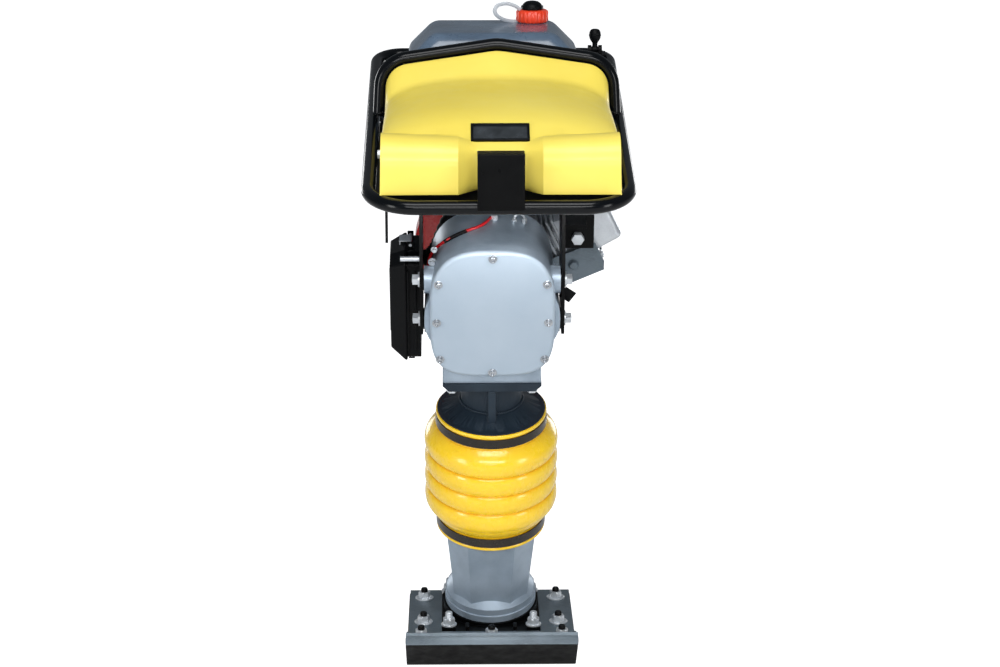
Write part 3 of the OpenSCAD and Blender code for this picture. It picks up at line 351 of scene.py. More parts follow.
def piece(name, verts, faces, place, material, body, slot, stands_for=(), sharp=35):
    return finish_piece(link_mesh(name, verts, faces, place), material, body, stands_for, sharp)


def merge(parts):
    """Joins several (verts, faces) into one."""
    verts, faces = [], []
    for v, f in parts:
        faces += [tuple(i + len(verts) for i in face) for face in f]
        verts += v
    return verts, faces


def moved(part, matrix):
    return [matrix @ Vector(v) for v in part[0]], part[1]


def grid_faces(rows, columns, wrap_rows=False, wrap_columns=False):
    faces = []
    for i in range(rows if wrap_rows else rows - 1):
        for k in range(columns if wrap_columns else columns - 1):
            i2, k2 = (i + 1) % rows, (k + 1) % columns
            faces.append((i * columns + k, i * columns + k2, i2 * columns + k2, i2 * columns + k))
    return faces


def lathe(profile, sides=64, closed=True):
    """A profile of (radius, height) turned round Z. Closed: the profile's end joins its start."""
    verts = [(r * math.cos(2 * math.pi * k / sides), r * math.sin(2 * math.pi * k / sides), z)
             for r, z in profile for k in range(sides)]
    return verts, grid_faces(len(profile), sides, closed, True)


def solid_lathe(profile, sides=64):
    """A turned solid whose profile starts and ends near the axis."""
    verts, faces = lathe(profile, sides, False)
    last = (len(profile) - 1) * sides
    faces += [tuple(reversed(range(sides))), tuple(range(last, last + sides))]
    return verts, faces


def box_mesh(low, high, round_by=1.0, segments=2):
    """A block with rounded edges."""
    bm = bmesh.new()
    bmesh.ops.create_cube(bm, size=1)
    for v in bm.verts:
        v.co = Vector([(low[i] + high[i]) / 2 + v.co[i] * (high[i] - low[i]) for i in range(3)])
    if round_by:
        bmesh.ops.bevel(bm, geom=list(bm.edges), offset=round_by, segments=segments, profile=0.5, affect="EDGES")
    verts = [v.co.copy() for v in bm.verts]
    faces = [tuple(v.index for v in f.verts) for f in bm.faces]
    bm.free()
    return verts, faces


def fillet(points, radii, steps=8, closed=False):
    """A path with its corners rounded. radii is one number or one for each rounded corner."""
    pts = [Vector(p) for p in points]
    count = len(pts)
    inner = range(count) if closed else range(1, count - 1)
    radii = list(radii) if isinstance(radii, (list, tuple)) else [radii] * len(inner)
    out = [] if closed else [pts[0]]
    for r, i in zip(radii, inner):
        a, b, c = pts[i - 1], pts[i], pts[(i + 1) % count]
        u, v = (a - b).normalized(), (c - b).normalized()
        half = u.angle(v) / 2
        centre = b + (u + v).normalized() * (r / math.sin(half))
        start, end = b + u * (r / math.tan(half)) - centre, b + v * (r / math.tan(half)) - centre
        sweep = math.pi - 2 * half
        for k in range(steps + 1):
            t = k / steps
            mix = (math.sin(sweep * (1 - t)) * start + math.sin(sweep * t) * end) / math.sin(sweep)
            out.append(centre + mix)
    if not closed:
        out.append(pts[-1])
    return out


def smooth_path(points, per=6):
    """A Catmull-Rom curve through the points."""
    p = [Vector(q) for q in points]
    p = [2 * p[0] - p[1]] + p + [2 * p[-1] - p[-2]]
    out = []
    for i in range(1, len(p) - 2):
        for k in range(per):
            t = k / per
            a, b, c, d = p[i - 1], p[i], p[i + 1], p[i + 2]
            square, cube = 2 * a - 5 * b + 4 * c - d, 3 * b - a - 3 * c + d
            out.append(0.5 * (2 * b + (c - a) * t + square * t * t + cube * t ** 3))
    return out + [p[-2]]


def tube(path, radius, sides=20, closed=False, flat=1.0, up=None):
    """A tube along a path. radius may be a function of the share of the path; flat narrows it across up."""
    path = [Vector(p) for p in path]
    n = len(path)
    size = radius if callable(radius) else (lambda t: radius)
    tangents = []
    for i in range(n):
        before = path[i - 1] if closed or i else path[0]
        after = path[(i + 1) % n] if closed or i < n - 1 else path[-1]
        tangents.append((after - before).normalized())
    normal = Vector(up) if up else tangents[0].orthogonal()
    verts = []
    for i, (p, t) in enumerate(zip(path, tangents)):
        base = Vector(up) if up else normal
        normal = (base - t * base.dot(t)).normalized()
        side = t.cross(normal)
        r = size(i / max(1, n - 1))
        for k in range(sides):
            a = 2 * math.pi * k / sides
            verts.append(p + r * (math.cos(a) * side + math.sin(a) * flat * normal))
    faces = grid_faces(n, sides, closed, True)
    if not closed:
        faces += [tuple(reversed(range(sides))), tuple(range((n - 1) * sides, n * sides))]
    return verts, faces


def arc(centre_x, centre_y, radius, start, end, steps, radius_y=None):
    """Points (x, y) round an arc of a circle or ellipse, angles in degrees, with both ends."""
    angles = [math.radians(start + (end - start) * k / steps) for k in range(steps + 1)]
    return [(centre_x + radius * math.cos(a), centre_y + (radius_y or radius) * math.sin(a)) for a in angles]


def weld(path, radius, pitch=3.2):
    """A weld bead: overlapping scales along a path."""
    path = [Vector(p) for p in path]
    length = sum((b - a).length for a, b in zip(path, path[1:]))
    count = max(8, int(length / pitch * 4))
    dense, i, run = [], 0, 0.0
    for mark in [length * k / count for k in range(count + 1)]:
        while i < len(path) - 2 and run + (path[i + 1] - path[i]).length < mark:
            run += (path[i + 1] - path[i]).length
            i += 1
        step = path[i + 1] - path[i]
        dense.append(path[i] + step * min(1, (mark - run) / max(1e-6, step.length)))
    return tube(dense, lambda t: radius * (1 + 0.16 * math.sin(2 * math.pi * t * length / pitch)), 10)


def thread(radius, length, pitch=1.75, depth=0.45, sides=28):
    """The threaded end of a stud, standing on z = 0, with a small chamfer."""
    turns = int(length / pitch)
    profile = [(0.2, 0), (radius - depth, 0)]
    for i in range(turns):
        profile += [(radius, (i + 0.3) * pitch), (radius, (i + 0.5) * pitch), (radius - depth, (i + 1) * pitch)]
    profile += [(radius - depth - 0.8, length), (0.2, length)]
    return solid_lathe(profile, sides)


def hex_prism(across, height, chamfer=0.12):
    """A nut or bolt head standing on z = 0, with its top corners chamfered."""
    corner = across / 2 / math.cos(math.pi / 6)
    sides = 36
    rows = []
    for z, cap in ((0, 1.0), (height * (1 - chamfer), 1.0), (height, 0.88)):
        for k in range(sides):
            a = 2 * math.pi * k / sides
            from_flat = (a + math.pi / 6) % (math.pi / 3) - math.pi / 6
            r = min(across / 2 / math.cos(from_flat), corner * cap)
            rows.append((r * math.cos(a), r * math.sin(a), z))
    faces = grid_faces(3, sides, False, True) + [tuple(reversed(range(sides))), tuple(range(2 * sides, 3 * sides))]
    return rows, faces


def washer(outer, inner, height, sides=40):
    c = min(0.4, height / 3)
    return lathe([(inner, 0), (outer - c, 0), (outer, c), (outer, height - c), (outer - c, height),
                  (inner, height)], sides)


def rod(radius, low, high, sides=24):
    """A plain pin from z = low to z = high."""
    return solid_lathe([(0.2, low), (radius, low), (radius, high), (0.2, high)], sides)


def ease_edges(obj, width, segments, angle):
    """Rounds the edges of a piece, width in millimetres, where its faces turn by more than the angle in degrees."""
    ease = obj.modifiers.new("ease", "BEVEL")
    ease.width = width * 0.001
    ease.segments = segments
    ease.limit_method = "ANGLE"
    ease.angle_limit = math.radians(angle)
    return ease


def refined(node, material, bevel=0.7, segments=2, sharp=32):
    """A CAD node's own shape with its edges eased."""
    source = frame["nodes"][node]
    obj = bpy.data.objects.new(node + "_piece", source.data.copy())
    bpy.context.scene.collection.objects.link(obj)
    bm = bmesh.new()
    bm.from_mesh(obj.data)
    bmesh.ops.remove_doubles(bm, verts=bm.verts, dist=2e-6)
    bmesh.ops.dissolve_limit(bm, angle_limit=math.radians(0.8), verts=bm.verts, edges=bm.edges)
    bm.to_mesh(obj.data)
    bm.free()
    finish_piece(obj, material, source["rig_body"], (node,), sharp)
    ease_edges(obj, bevel, segments, sharp).miter_outer = "MITER_ARC"
    obj.modifiers.new("flow", "WEIGHTED_NORMAL").keep_sharp = True


# ---- Shoe ----


def build_shoe():
    refined("sole_plate", "sole", 1.5, 3)
    refined("shoe_block", "laminate", 1.2)
    refined("deck_plates", "deck", 0.7)
    refined("foot_base", "black", 1.6, 3)
    slope = Matrix.Translation((0, -184, 87.6)) @ Matrix.Rotation(-math.atan2(22.6, 26), 4, "X")
    piece("front_strip_lip", *moved(box_mesh((-142, -2.4, -15.5), (142, 0.2, -0.4), 0.8), slope), LEVEL, "deck", "foot",
          "gray_steel")
    side_bolts = [(x, y, 65) for x in (-114, 114) for y in (46, -66)]
    front_bolts = [(x, -143, 71) for x in (-117, 0, 117)]
    foot_studs = [(x, y, 71) for x in (-71, 71) for y in (-94, 64)]
    threads, nuts, heads = [], [], []
    for x, y, z in side_bolts + front_bolts:
        base = Matrix.Translation((x, y, z))
        turn = base @ Matrix.Rotation(0.37 * x + y, 4, "Z")
        threads.append(moved(thread(6, 19), base))
        nuts.append(moved(washer(15.5 if (x, y, z) in side_bolts else 12.5, 6.2, 2.5), base))
        nuts.append(moved(hex_prism(18, 10), turn @ Matrix.Translation((0, 0, 2.5))))
    for x, y, z in side_bolts:
        heads.append(moved(solid_lathe([(0.2, 1), (11.5, 1), (12, 1.5), (12, 4), (6, 5), (6, 60), (0.2, 60)], 32),
                           Matrix.Translation((x, y, 0))))
    piece("shoe_bolt_studs", *merge(threads + heads), LEVEL, "black", "foot", "black_steel", ("shoe_bolts",))
    piece("shoe_washers_and_nuts", *merge(nuts), LEVEL, "zinc", "foot", "zinc", ("shoe_nuts",))
    studs = []
    for x, y, z in foot_studs:
        base = Matrix.Translation((x, y, z))
        studs.append(moved(washer(13, 6.2, 3), base))
        studs.append(moved(hex_prism(18, 10), base @ Matrix.Rotation(x * y, 4, "Z") @ Matrix.Translation((0, 0, 3))))
        studs.append(moved(thread(6, 24), base))
    piece("foot_studs", *merge(studs), LEVEL, "zinc", "foot", "zinc", ("foot_bolts",))
    stiffeners = [box_mesh((x - 3, -104, 62), (x + 3, -84, 72), 0.8) for x in (-40, 40)]
    piece("foot_base_webs", *merge(stiffeners), LEVEL, "black", "foot", "black_steel")


# ---- Ram and bellows ----

BELLOWS_R, GROOVE_R, SLEEVE_R, COLLAR_R = 110, 102, 89.5, 85
FOLD_TOP, FOLD_PITCH, FOLDS = 326, 35.5, 4


def fold_radius(s):
    """Outside radius of the bellows at height s, with rounded folds and tight grooves."""
    k = (FOLD_TOP - s) / FOLD_PITCH
    if k < 0:
        return BELLOWS_R - (BELLOWS_R - SLEEVE_R) * (-k * FOLD_PITCH / 28) ** 2.2
    if k > FOLDS - 0.5:
        return GROOVE_R - (GROOVE_R - SLEEVE_R) * min(1, (k - FOLDS + 0.5) / 0.56) ** 1.5
    f = k - round(k)
    return GROOVE_R + (BELLOWS_R - GROOVE_R) * max(0, 1 - 4 * f * f * 0.97) ** 0.5


def build_ram():
    refined("ram_housing", "cast", 2.4, 3, 20)
    refined("spring_cylinder", "steel", 0.5)
    refined("spring_cap", "steel", 0.5)
    refined("ram_piston", "steel", 0.6)
    for node in ("lower_clamp", "upper_clamp"):
        refined(node, "band", 0.5)
    rows = [182 + (354 - 182) * i / 150 for i in range(151)]
    lip, top = SLEEVE_R + 1.5, 381
    profile = [(COLLAR_R + 0.1, 157), (lip - 1, 157), (lip, 158), (lip, 161.5), (lip - 1, 162.5), (SLEEVE_R, 163.4)]
    profile += [(fold_radius(s), s) for s in rows]
    profile += [(SLEEVE_R, 373.6), (lip - 1, 374.5), (lip, 375.5), (lip, top - 1), (lip - 1, top)]
    profile += [(COLLAR_R + 0.1, top), (COLLAR_R + 0.1, 356)]
    profile += [(fold_radius(s) - 4, s) for s in reversed(rows[::3])]
    profile += [(COLLAR_R + 0.1, 181)]
    made = link_mesh("bellows_skin", *lathe(profile, 144), RAM)
    finish_piece(made, "bellows", None, ("bellows",), 50)
    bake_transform(made)


def coil(radius, wire, low, high, turns, per_turn=28):
    """A compression spring with closed, flat ends."""
    count = int(turns * per_turn)
    path = []
    for i in range(count + 1):
        t = i / count
        a = 2 * math.pi * turns * t
        ends = 1.1 / turns
        rise = min(1, max(0, (t - ends) / (1 - 2 * ends)))
        path.append((radius * math.cos(a), radius * math.sin(a), low + wire + (high - low - 2 * wire) * rise
                     + wire * 1.2 * (min(t, ends) / ends - max(0, t - 1 + ends) / ends) - wire * 0.6))
    return tube(path, wire, 10)


def build_springs():
    lower = link_mesh("lower_ram_spring", *coil(28.5, 4.2, 24.5, 237.5, 13), RAM)
    finish_piece(lower, "steel", None, ("ram_springs",))
    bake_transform(lower)
    upper = link_mesh("upper_ram_spring", *coil(28.5, 4.2, 262.5, 417.5, 10), RAM)
    finish_piece(upper, "steel", None, ("ram_springs",))
    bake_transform(upper)


def build_neck():
    refined("guide_cylinder", "neck", 1.2, 2)
    refined("guide_bush", "bronze", 0.4)
    beads = [weld([(x, y, 400) for x, y in arc(0, 0, 51, 0, 360, 48)], 2.2)]
    for side in (-1, 1):
        for x in (-6.5, 6.5):
            beads.append(weld([(x, side * 51, 400), (x, side * 64, 389)], 1.8))
            beads.append(weld([(x, side * 50.5, 402), (x, side * 50.5, 452)], 1.8))
        beads.append(weld([(-5, side * 71.5, 453), (5, side * 71.5, 453)], 2.0))
    piece("neck_welds", *merge(beads), RAM, "neck", "power_unit", "black_casting", sharp=60)


# ---- Crankcase ----

COVER_S = 606
COVER_SCREWS = [(0, 706), (0, 502.5), (84.5, 661), (-84.5, 661), (87.5, 593), (-87.5, 593), (82.5, 527), (-82.5, 527)]
FACE_Y = -92.5
TO_FRONT = Matrix.Rotation(math.radians(90), 4, "X")


COVER_SIDES = 120


def squircle(half_w, half_h, z0, upper=2.9, lower=3.8):
    """A superellipse about (0, z0), squarer in its lower half."""
    points = []
    for k in range(COVER_SIDES):
        a = 2 * math.pi * k / COVER_SIDES
        c, s = math.cos(a), math.sin(a)
        power = 2 / (upper if s > 0 else lower)
        points.append((math.copysign(abs(c) ** power, c) * half_w, z0 + math.copysign(abs(s) ** power, s) * half_h))
    return points


def build_crankcase():
    refined("crankcase", "cast", 1.2, 2, 24)
    profile = ((0, -85), (0, -87), (0.4, -88.6), (1.2, -90), (2.3, -91.2), (3.6, -92), (5, FACE_Y), (7, FACE_Y),
               (30, FACE_Y))
    verts = [(x, -85, z) for x, z in squircle(60, 70, COVER_S)]
    for inset, y in profile:
        verts += [(x, y, z) for x, z in squircle(98 - inset, 111.5 - inset, COVER_S)]
    last = len(profile) * COVER_SIDES
    faces = grid_faces(len(profile) + 1, COVER_SIDES, False, True)
    faces += [tuple(range(last, last + COVER_SIDES)), tuple(reversed(range(COVER_SIDES)))]
    piece("front_cover", verts, faces, RAM, "cover", "power_unit", "cover_alloy", ("crankcase_cover",), 30)
    socket_head = [(0.2, 0.4), (4.9, 0.4), (4.9, 5.2), (4.3, 5.8), (2.7, 5.8), (2.4, 5.4), (2.4, 2.6), (0.2, 2.4)]
    screws = []
    for i, (x, z) in enumerate(COVER_SCREWS):
        base = Matrix.Translation((x, FACE_Y, z)) @ TO_FRONT @ Matrix.Rotation(0.7 * i, 4, "Z")
        screws.append(moved(washer(6.9, 4.2, 1.2), base))
        screws.append(moved(solid_lathe(socket_head, 28), base))
        screws.append(moved(rod(4, -17, 1, 20), base))
    piece("cover_bolts", *merge(screws), RAM, "steel", "power_unit", "zinc", ("cover_screws",))


def build_drive():
    for node in ("crank_gear", "clutch_drum", "engine_crankshaft", "rod_pins", "shaft_bearings"):
        refined(node, "steel", 0.4)
    refined("con_rod", "cast", 0.9)
    refined("flywheel_fan", "engine", 0.6)
    for node in ("clutch_shoe_left", "clutch_shoe_right"):
        refined(node, "lining", 0.5)
    refined("engine_bolts", "zinc", 0.4)


STOP_WIRE = [(-1, 30, 715.2), (-16, 4, 715.2), (-40, -10, 712.4), (-56.5, -15, 707.2), (-74.8, -14, 695.6),
             (-89.8, -4, 677.4), (-98, 6, 658), (-101, 12, 642), (-101, 16, 628)]


def build_stop_wire():
    """The stop wire, from its eyelet on top of the crankcase to the left side of the case."""
    wire = piece("stop_wire_run", *tube(smooth_path(STOP_WIRE), 2.4, 12), RAM, "wire", "power_unit", "red_wire",
                 ("stop_wire",), 60)


def build_wiring():
    """The stop wire's sleeve and eyelet, and the small fittings on the crankcase."""
    piece("wire_sleeve", *tube(smooth_path(STOP_WIRE[2:5]), 3.1, 12), RAM, "rubber", "power_unit", "rubber", sharp=60)
    eyelet = moved(lathe([(3.2, -0.6), (6.4, -0.6), (6.4, 0.6), (3.2, 0.6)], 28), Matrix.Translation((4, 31, 714.8)))
    head = moved(hex_prism(10, 4), Matrix.Translation((4, 31, 715.4)))
    foot = moved(rod(6, 0, 4), Matrix.Translation((4, 31, 710.5)))
    hook = tube([(x, 30, z) for x, z in arc(44, 713, 8, 0, 180, 12)], 2, 10)
    feet = [moved(rod(4, 0, 8, 20), Matrix.Translation((x, 30, 705))) for x in (36, 52)]
    piece("case_top_fittings", *merge([eyelet, head, hook, foot] + feet), RAM, "zinc", "power_unit", "zinc")
    tab = moved(box_mesh((-10, -1.5, -10), (10, 1.5, 10), 0.6), Matrix.Translation((120, -20, 603)) @
                Matrix.Rotation(math.radians(35), 4, "Y"))
    piece("side_tab", *tab, RAM, "plastic", "power_unit", "black_plastic")
    fittings = []
    for x, z, r in ((-94, 668, 4), (-96, 640, 3.4), (-91, 690, 3)):
        turn = Matrix.Translation((x, -30, z)) @ TO_FRONT
        fittings.append(moved(washer(r * 1.7, r * 0.9, 1.2), turn))
        fittings.append(moved(hex_prism(r * 2, 5), turn @ Matrix.Translation((0, 0, 1))))
    piece("side_fittings", *merge(fittings), RAM, "zinc", "power_unit", "zinc")


# ---- Engine ----


def build_engine():
    refined("engine_block", "engine", 0.8)
    refined("cylinder_head", "engine", 0.6)
    refined("valve_cover", "zinc", 0.8)
    refined("cylinder_shroud", "deck", 0.5)
    refined("fan_cover", "red", 1.4, 3)
    refined("muffler", "zinc", 1.2, 3)
    refined("carburettor", "engine", 1.0)
    refined("throttle_arm", "zinc", 0.3)
    refined("choke_lever", "plastic", 0.4)
    route = [(-113, 80, 618), (-102, 80, 618), (-88, 82, 634), (-68, 98, 676), (-40, 124, 704), (-10, 138, 706),
             (20, 144, 698), (40, 150, 692), (40, 159, 692)]
    folds = 36
    hose = tube(smooth_path(route, 14), lambda t: 12.4 + 0.9 * math.cos(2 * math.pi * t * folds), 24)
    piece("intake_hose_run", *hose, RAM, "rubber", "power_unit", "rubber", ("intake_hose",), 60)
    ribs = [box_mesh((x - 1.5, 232, 698), (x + 1.5, 249.5, 754), 0.7) for x in range(92, 176, 14)]
    piece("muffler_guard_ribs", *merge(ribs), RAM, "engine", "power_unit", "zinc")


def build_fan_cover_details():
    """The bolts round the red fan cover."""
    bolts = []
    flat_bottom = ENGINE_S - 88
    for x, z in [p for p in arc(0, ENGINE_S, 100, 20, 320, 5) if p[1] > flat_bottom]:
        base = Matrix.Translation((x, 266, z)) @ Matrix.Rotation(math.radians(-90), 4, "X")
        bolts.append(moved(washer(6.6, 3.2, 1.2), base))
        bolts.append(moved(hex_prism(9, 4.5), base @ Matrix.Translation((0, 0, 1.1))))
    piece("fan_cover_bolts", *merge(bolts), RAM, "zinc", "power_unit", "zinc")


def build_starter():
    """The pull grip, and a short fixed piece of its rope under it."""
    place = RAM @ Matrix.Translation((0, 277, ENGINE_S)) @ Matrix.Rotation(math.radians(-30), 4, "Y")

    def grip_radius(t):
        past_shoulder = max(0, abs(t - 0.5) * 57 - 20)
        return 8.5 * math.sqrt(max(0.02, 1 - past_shoulder ** 2 / 76)) + 0.25 * math.cos(t * 88)

    bar = tube([(x, 0, 101) for x in range(-28, 29, 2)], grip_radius, 24)
    stem = solid_lathe([(0.2, 84.3), (4.6, 84.3), (5, 84.8), (5, 96), (0.2, 96.3)], 32)
    piece("starter_pull_grip", *merge([bar, stem]), place, "plastic", "grip", "black_plastic", ("starter_grip",), 50)
    rope = link_mesh("starter_rope", *tube([(0, 0, z) for z in range(72, 92)], 1.9, 10), place)
    finish_piece(rope, "strap", None)
    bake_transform(rope)


# ---- Air filter ----


def build_filter():
    refined("air_filter_box", "plastic", 1.0, 3)
    refined("air_filter_lid", "plastic", 1.6, 3)
    refined("filter_clip_top", "zinc", 0.3)
    refined("filter_clip_bottom", "zinc", 0.3)
    ribs = [box_mesh((-164.5, y, 496), (-160, y + 3, 612), 0.9) for y in range(52, 112, 12)]
    ribs += [box_mesh((-136, 15.5, 480), (-132, 18.5, 626), 0.8), box_mesh((-124, 15.5, 480), (-120, 18.5, 626), 0.8)]
    piece("filter_ribs", *merge(ribs), RAM, "plastic", "power_unit", "black_plastic")


# ---- Handle ----


HOOP = [(-189, -50, 931), (-184, -50, 1018), (0, -50, 1045), (184, -50, 1018), (189, -50, 931)]
HOOP_RADII = [48, 70, 48]
LOOP_R = 11
LOOP_FRONT, LOOP_REAR = -403, 250
LOOP_LOW, LOOP_RISE = 854, 131
LOOP_LENGTH = LOOP_REAR - LOOP_FRONT


def loop_z(y):
    """Height of the loop's tube at y."""
    return LOOP_LOW + LOOP_RISE * (y - LOOP_FRONT) / LOOP_LENGTH


def loop_half(y):
    """Half the loop's width at y."""
    return 196 * (1 + 0.01 * (y - LOOP_FRONT) / LOOP_LENGTH)


def build_handle():
    corners = ((-1, LOOP_FRONT), (1, LOOP_FRONT), (1, LOOP_REAR), (-1, LOOP_REAR))
    path = fillet([(side * loop_half(y), y, loop_z(y)) for side, y in corners], [72, 72, 43, 43], 14, True)
    hoop = [Vector((x + 2, y, z)) for x, y, z in fillet(HOOP, HOOP_RADII, 12)]
    frame_tubes = [tube(path, LOOP_R, 32, True), tube(hoop, 10.6, 32, up=(0, 1, 0))]
    piece("handle_tubes", *merge(frame_tubes), HANDLE, "tube", "power_unit", "black_steel", ("handle_frame",), 60)
    beads = []
    for side in (-1, 1):
        ring = [(2 + side * 189 + 11.5 * math.cos(a) * 0.9, -50 + 11.5 * math.sin(a), 936 - side * 3 * math.cos(a))
                for a in [2 * math.pi * k / 24 for k in range(25)]]
        beads.append(weld(ring, 1.7))
    piece("handle_welds", *merge(beads), HANDLE, "tube", "power_unit", "black_steel", sharp=60)
    refined("side_plates", "black", 0.8)
    refined("tank_straps", "black", 0.6)
    refined("front_bracket", "black", 1.0, 2)
    refined("rubber_mounts", "rubber", 1.2, 3)
    refined("mount_bolts", "zinc", 0.5)
    refined("throttle_clamp", "black", 0.6)


def build_throttle():
    """The throttle lever: a flattened bulb on a tapering neck, on its cross pin."""
    x, y = 174, 218
    slope = math.atan(LOOP_RISE / LOOP_LENGTH)
    at = Matrix.Translation((x, y, loop_z(y) + LOOP_R / math.cos(slope) + 8.5))
    cross = Matrix.Rotation(math.radians(90), 4, "Y")
    pin = moved(rod(4, -12, 12), cross)
    hub = moved(solid_lathe([(0.2, -5.5), (4.6, -5.5), (5, -5), (5, 5), (4.6, 5.5), (0.2, 5.5)], 32), cross)
    outline = [(4.6, 1), (4.4, 8), (4.8, 11), (6.8, 14), (8.8, 17.5), (9.8, 21), (10, 25), (9.5, 29), (7.8, 32.4),
               (5, 34.4), (0.3, 35)]
    curve = smooth_path([(r, 0, z) for r, z in outline], 4)
    bulb = moved(solid_lathe([(0.3, 1)] + [(p.x, p.z) for p in curve], 32), Matrix.Scale(0.82, 4, (0, 1, 0)))
    band = tube([(px, py, 24) for px, py in arc(0, 0, 10.1, 0, 360, 40, 8.3)[:-1]], 0.8, 8, True)
    piece("throttle_bulb", *moved(merge([pin, hub, bulb, band]), at), HANDLE, "plastic", "throttle", "black_plastic",
          ("throttle_lever",), 50)


# ---- Hood ----

HOOD_HALF = 178
CREASE_Y, REAR_Y = -104, -62    # where the dome meets the riser, and the riser's rear edge
DOME = [(-345, 942.5), (-331.5, 951.8), (-318, 961), (-304, 967.5), (-290, 973), (-270, 978.3), (-250, 982.5),
        (-225, 986.4), (-200, 989.6), (-175, 992.3), (-150, 994.6), (-130, 996.2), (-116, 997.3), (CREASE_Y, 998)]
RECESS = [(-352, 870), (-358, 873), (-361, 878), (-362, 884), (-362, 891), (-362, 898), (-362, 905), (-362, 911),
          (-362, 917), (-362, 923), (-361.6, 928), (-359.5, 931.5), (-356, 934.3), (-351, 938), (-345.6, 942)]
SKIRT = [(-400, 868), (-364, 868), (-330, 880), (-200, 906), (-61, 946)]


def lerp(a, b, t):
    return a + (b - a) * t


def along(points, x):
    """The height at x of a line through points that run in order of x."""
    for (x0, z0), (x1, z1) in zip(points, points[1:]):
        if x <= x1:
            return lerp(z0, z1, max(0, (x - x0) / (x1 - x0)))
    return points[-1][1]


def riser_top():
    """The hood's rear outline, just inside the hoop: points (|x|, z) from the middle out."""
    half = [p for p in fillet(HOOP, HOOP_RADII, 12) if p.x >= 0]
    line = []
    for a, b in zip(half, half[1:]):
        if (b - a).length > 0.01:
            d = (b - a).normalized()
            line.append(((a.x + b.x) / 2 + 8 * d.z, (a.z + b.z) / 2 - 8 * d.x))
    line = [(0, line[0][1])] + [q for q in line if q[0] > 1]
    return line


def hood_column(x, outline):
    """Points (y, z) of the hood's outer skin at x, from its front lower edge over the top to its rear upper edge."""
    reach = min(1.0, abs(x) / HOOD_HALF)
    swell = (1 - reach ** 2.4) ** (1 / 2.4) if reach < 1 else 0
    rim_z = 944.5

    def dome(y):
        return rim_z + (along(DOME, y) - rim_z) * swell

    k = max(0.0, min(1.0, (abs(x) - 35) / 28))     # 0 in the recess, 1 on a bulge
    r = 38.5 + 5 * max(0, (abs(x) - 63) / 115)
    points = []
    for i, rest in enumerate(RECESS):
        a = math.radians(max(-4, lerp(-62, 101, i / 14)))
        drop = max(0.0, 5.1 - i) / 5.1
        bulge = (-384 + r - r * math.cos(a), 911 + r * math.sin(a) - 39 * drop)
        points.append((lerp(rest[0], bulge[0], k), lerp(rest[1], bulge[1], k)))
    points += [(y, dome(y)) for y, _ in DOME[1:-1]]
    top = along(outline, abs(x))
    foot, crease = points[-1], (CREASE_Y, dome(CREASE_Y))
    up = (lerp(CREASE_Y, REAR_Y, 0.22), lerp(crease[1], top, 0.22))
    steps = [i / 6 for i in range(1, 7)]
    for t in steps:
        points.append(tuple((1 - t) ** 2 * p + 2 * t * (1 - t) * c + t * t * q for p, c, q in zip(foot, crease, up)))
    points += [(lerp(up[0], REAR_Y, t), lerp(up[1], top, t)) for t in steps]
    return points


def build_hood():
    outline = riser_top()
    half = [0, 12, 24, 35, 39, 44, 49, 54, 59, 63, 72, 84, 96, 108, 118, 127, 135, 142, 148, 153, 158, 162, 165.5,
            168.5, 171, 173.5, 175.5, 177, HOOD_HALF]
    xs = [-v for v in reversed(half[1:])] + half
    columns = [hood_column(x, outline) for x in xs]
    rows = len(columns[0])
    verts = [(x, y, z) for x, column in zip(xs, columns) for y, z in column]
    faces = grid_faces(len(xs), rows)
    for x, edge in ((-HOOD_HALF - 1.4, 0), (HOOD_HALF + 1.4, (len(xs) - 1) * rows)):
        start = len(verts)
        verts += [(x, y, min(z, along(SKIRT, y))) for _, y, z in verts[edge:edge + rows]]
        for i in range(rows - 1):
            quad = (edge + i, edge + i + 1, start + i + 1, start + i)
            faces.append(quad if edge == 0 else tuple(reversed(quad)))
    hood = link_mesh("hood_shell", verts, faces, HOOD)
    thick = hood.modifiers.new("wall", "SOLIDIFY")
    thick.thickness = 0.003
    thick.offset = -1
    finish_piece(hood, "hood", "power_unit", ("hood",), 28)
    ease_edges(hood, 2.5, 3, 20)
    tilt = Matrix.Translation((0, -331.5, 952.4)) @ Matrix.Rotation(math.atan(18.5 / 27), 4, "X")
    rim = [((-44, -18, -1), (44, -14.5, 3.6)), ((-44, 14.5, -1), (44, 18, 3.6)),
           ((-44, -18, -1), (-40.5, 18, 3.6)), ((40.5, -18, -1), (44, 18, 3.6))]
    piece("meter_frame", *merge([moved(box_mesh(low, high, 0.8), tilt) for low, high in rim]), HOOD, "plastic",
          "power_unit", "black_plastic", ("hour_meter",))
    piece("meter_pane", *moved(box_mesh((-41.5, -15.5, -0.8), (41.5, 15.5, 1.4), 0.5), tilt), HOOD, "window",
          "power_unit", "black_plastic")
    strip = box_mesh((-163.8, -316, 781), (-159.6, -314.2, 869), 0.5)
    piece("hanging_strip", *strip, LEVEL, "rubber", "power_unit", "rubber")
    bolt = moved(hex_prism(12, 5), Matrix.Translation((-179.6, -300, 915)) @ Matrix.Rotation(math.radians(-90), 4, "Y"))
    piece("hood_bolt", *bolt, HOOD, "zinc", "power_unit", "zinc")


# ---- Fuel tank ----

# Its rounded corners from the bottom up: half width, front y, rear y, height and radius
TANK_FOOT, TANK_SHOULDER, TANK_TOP = (132, -8, 186, 916, 18), (121, -1, 182, 1004, 20), (88, 20, 166, 1027, 28)


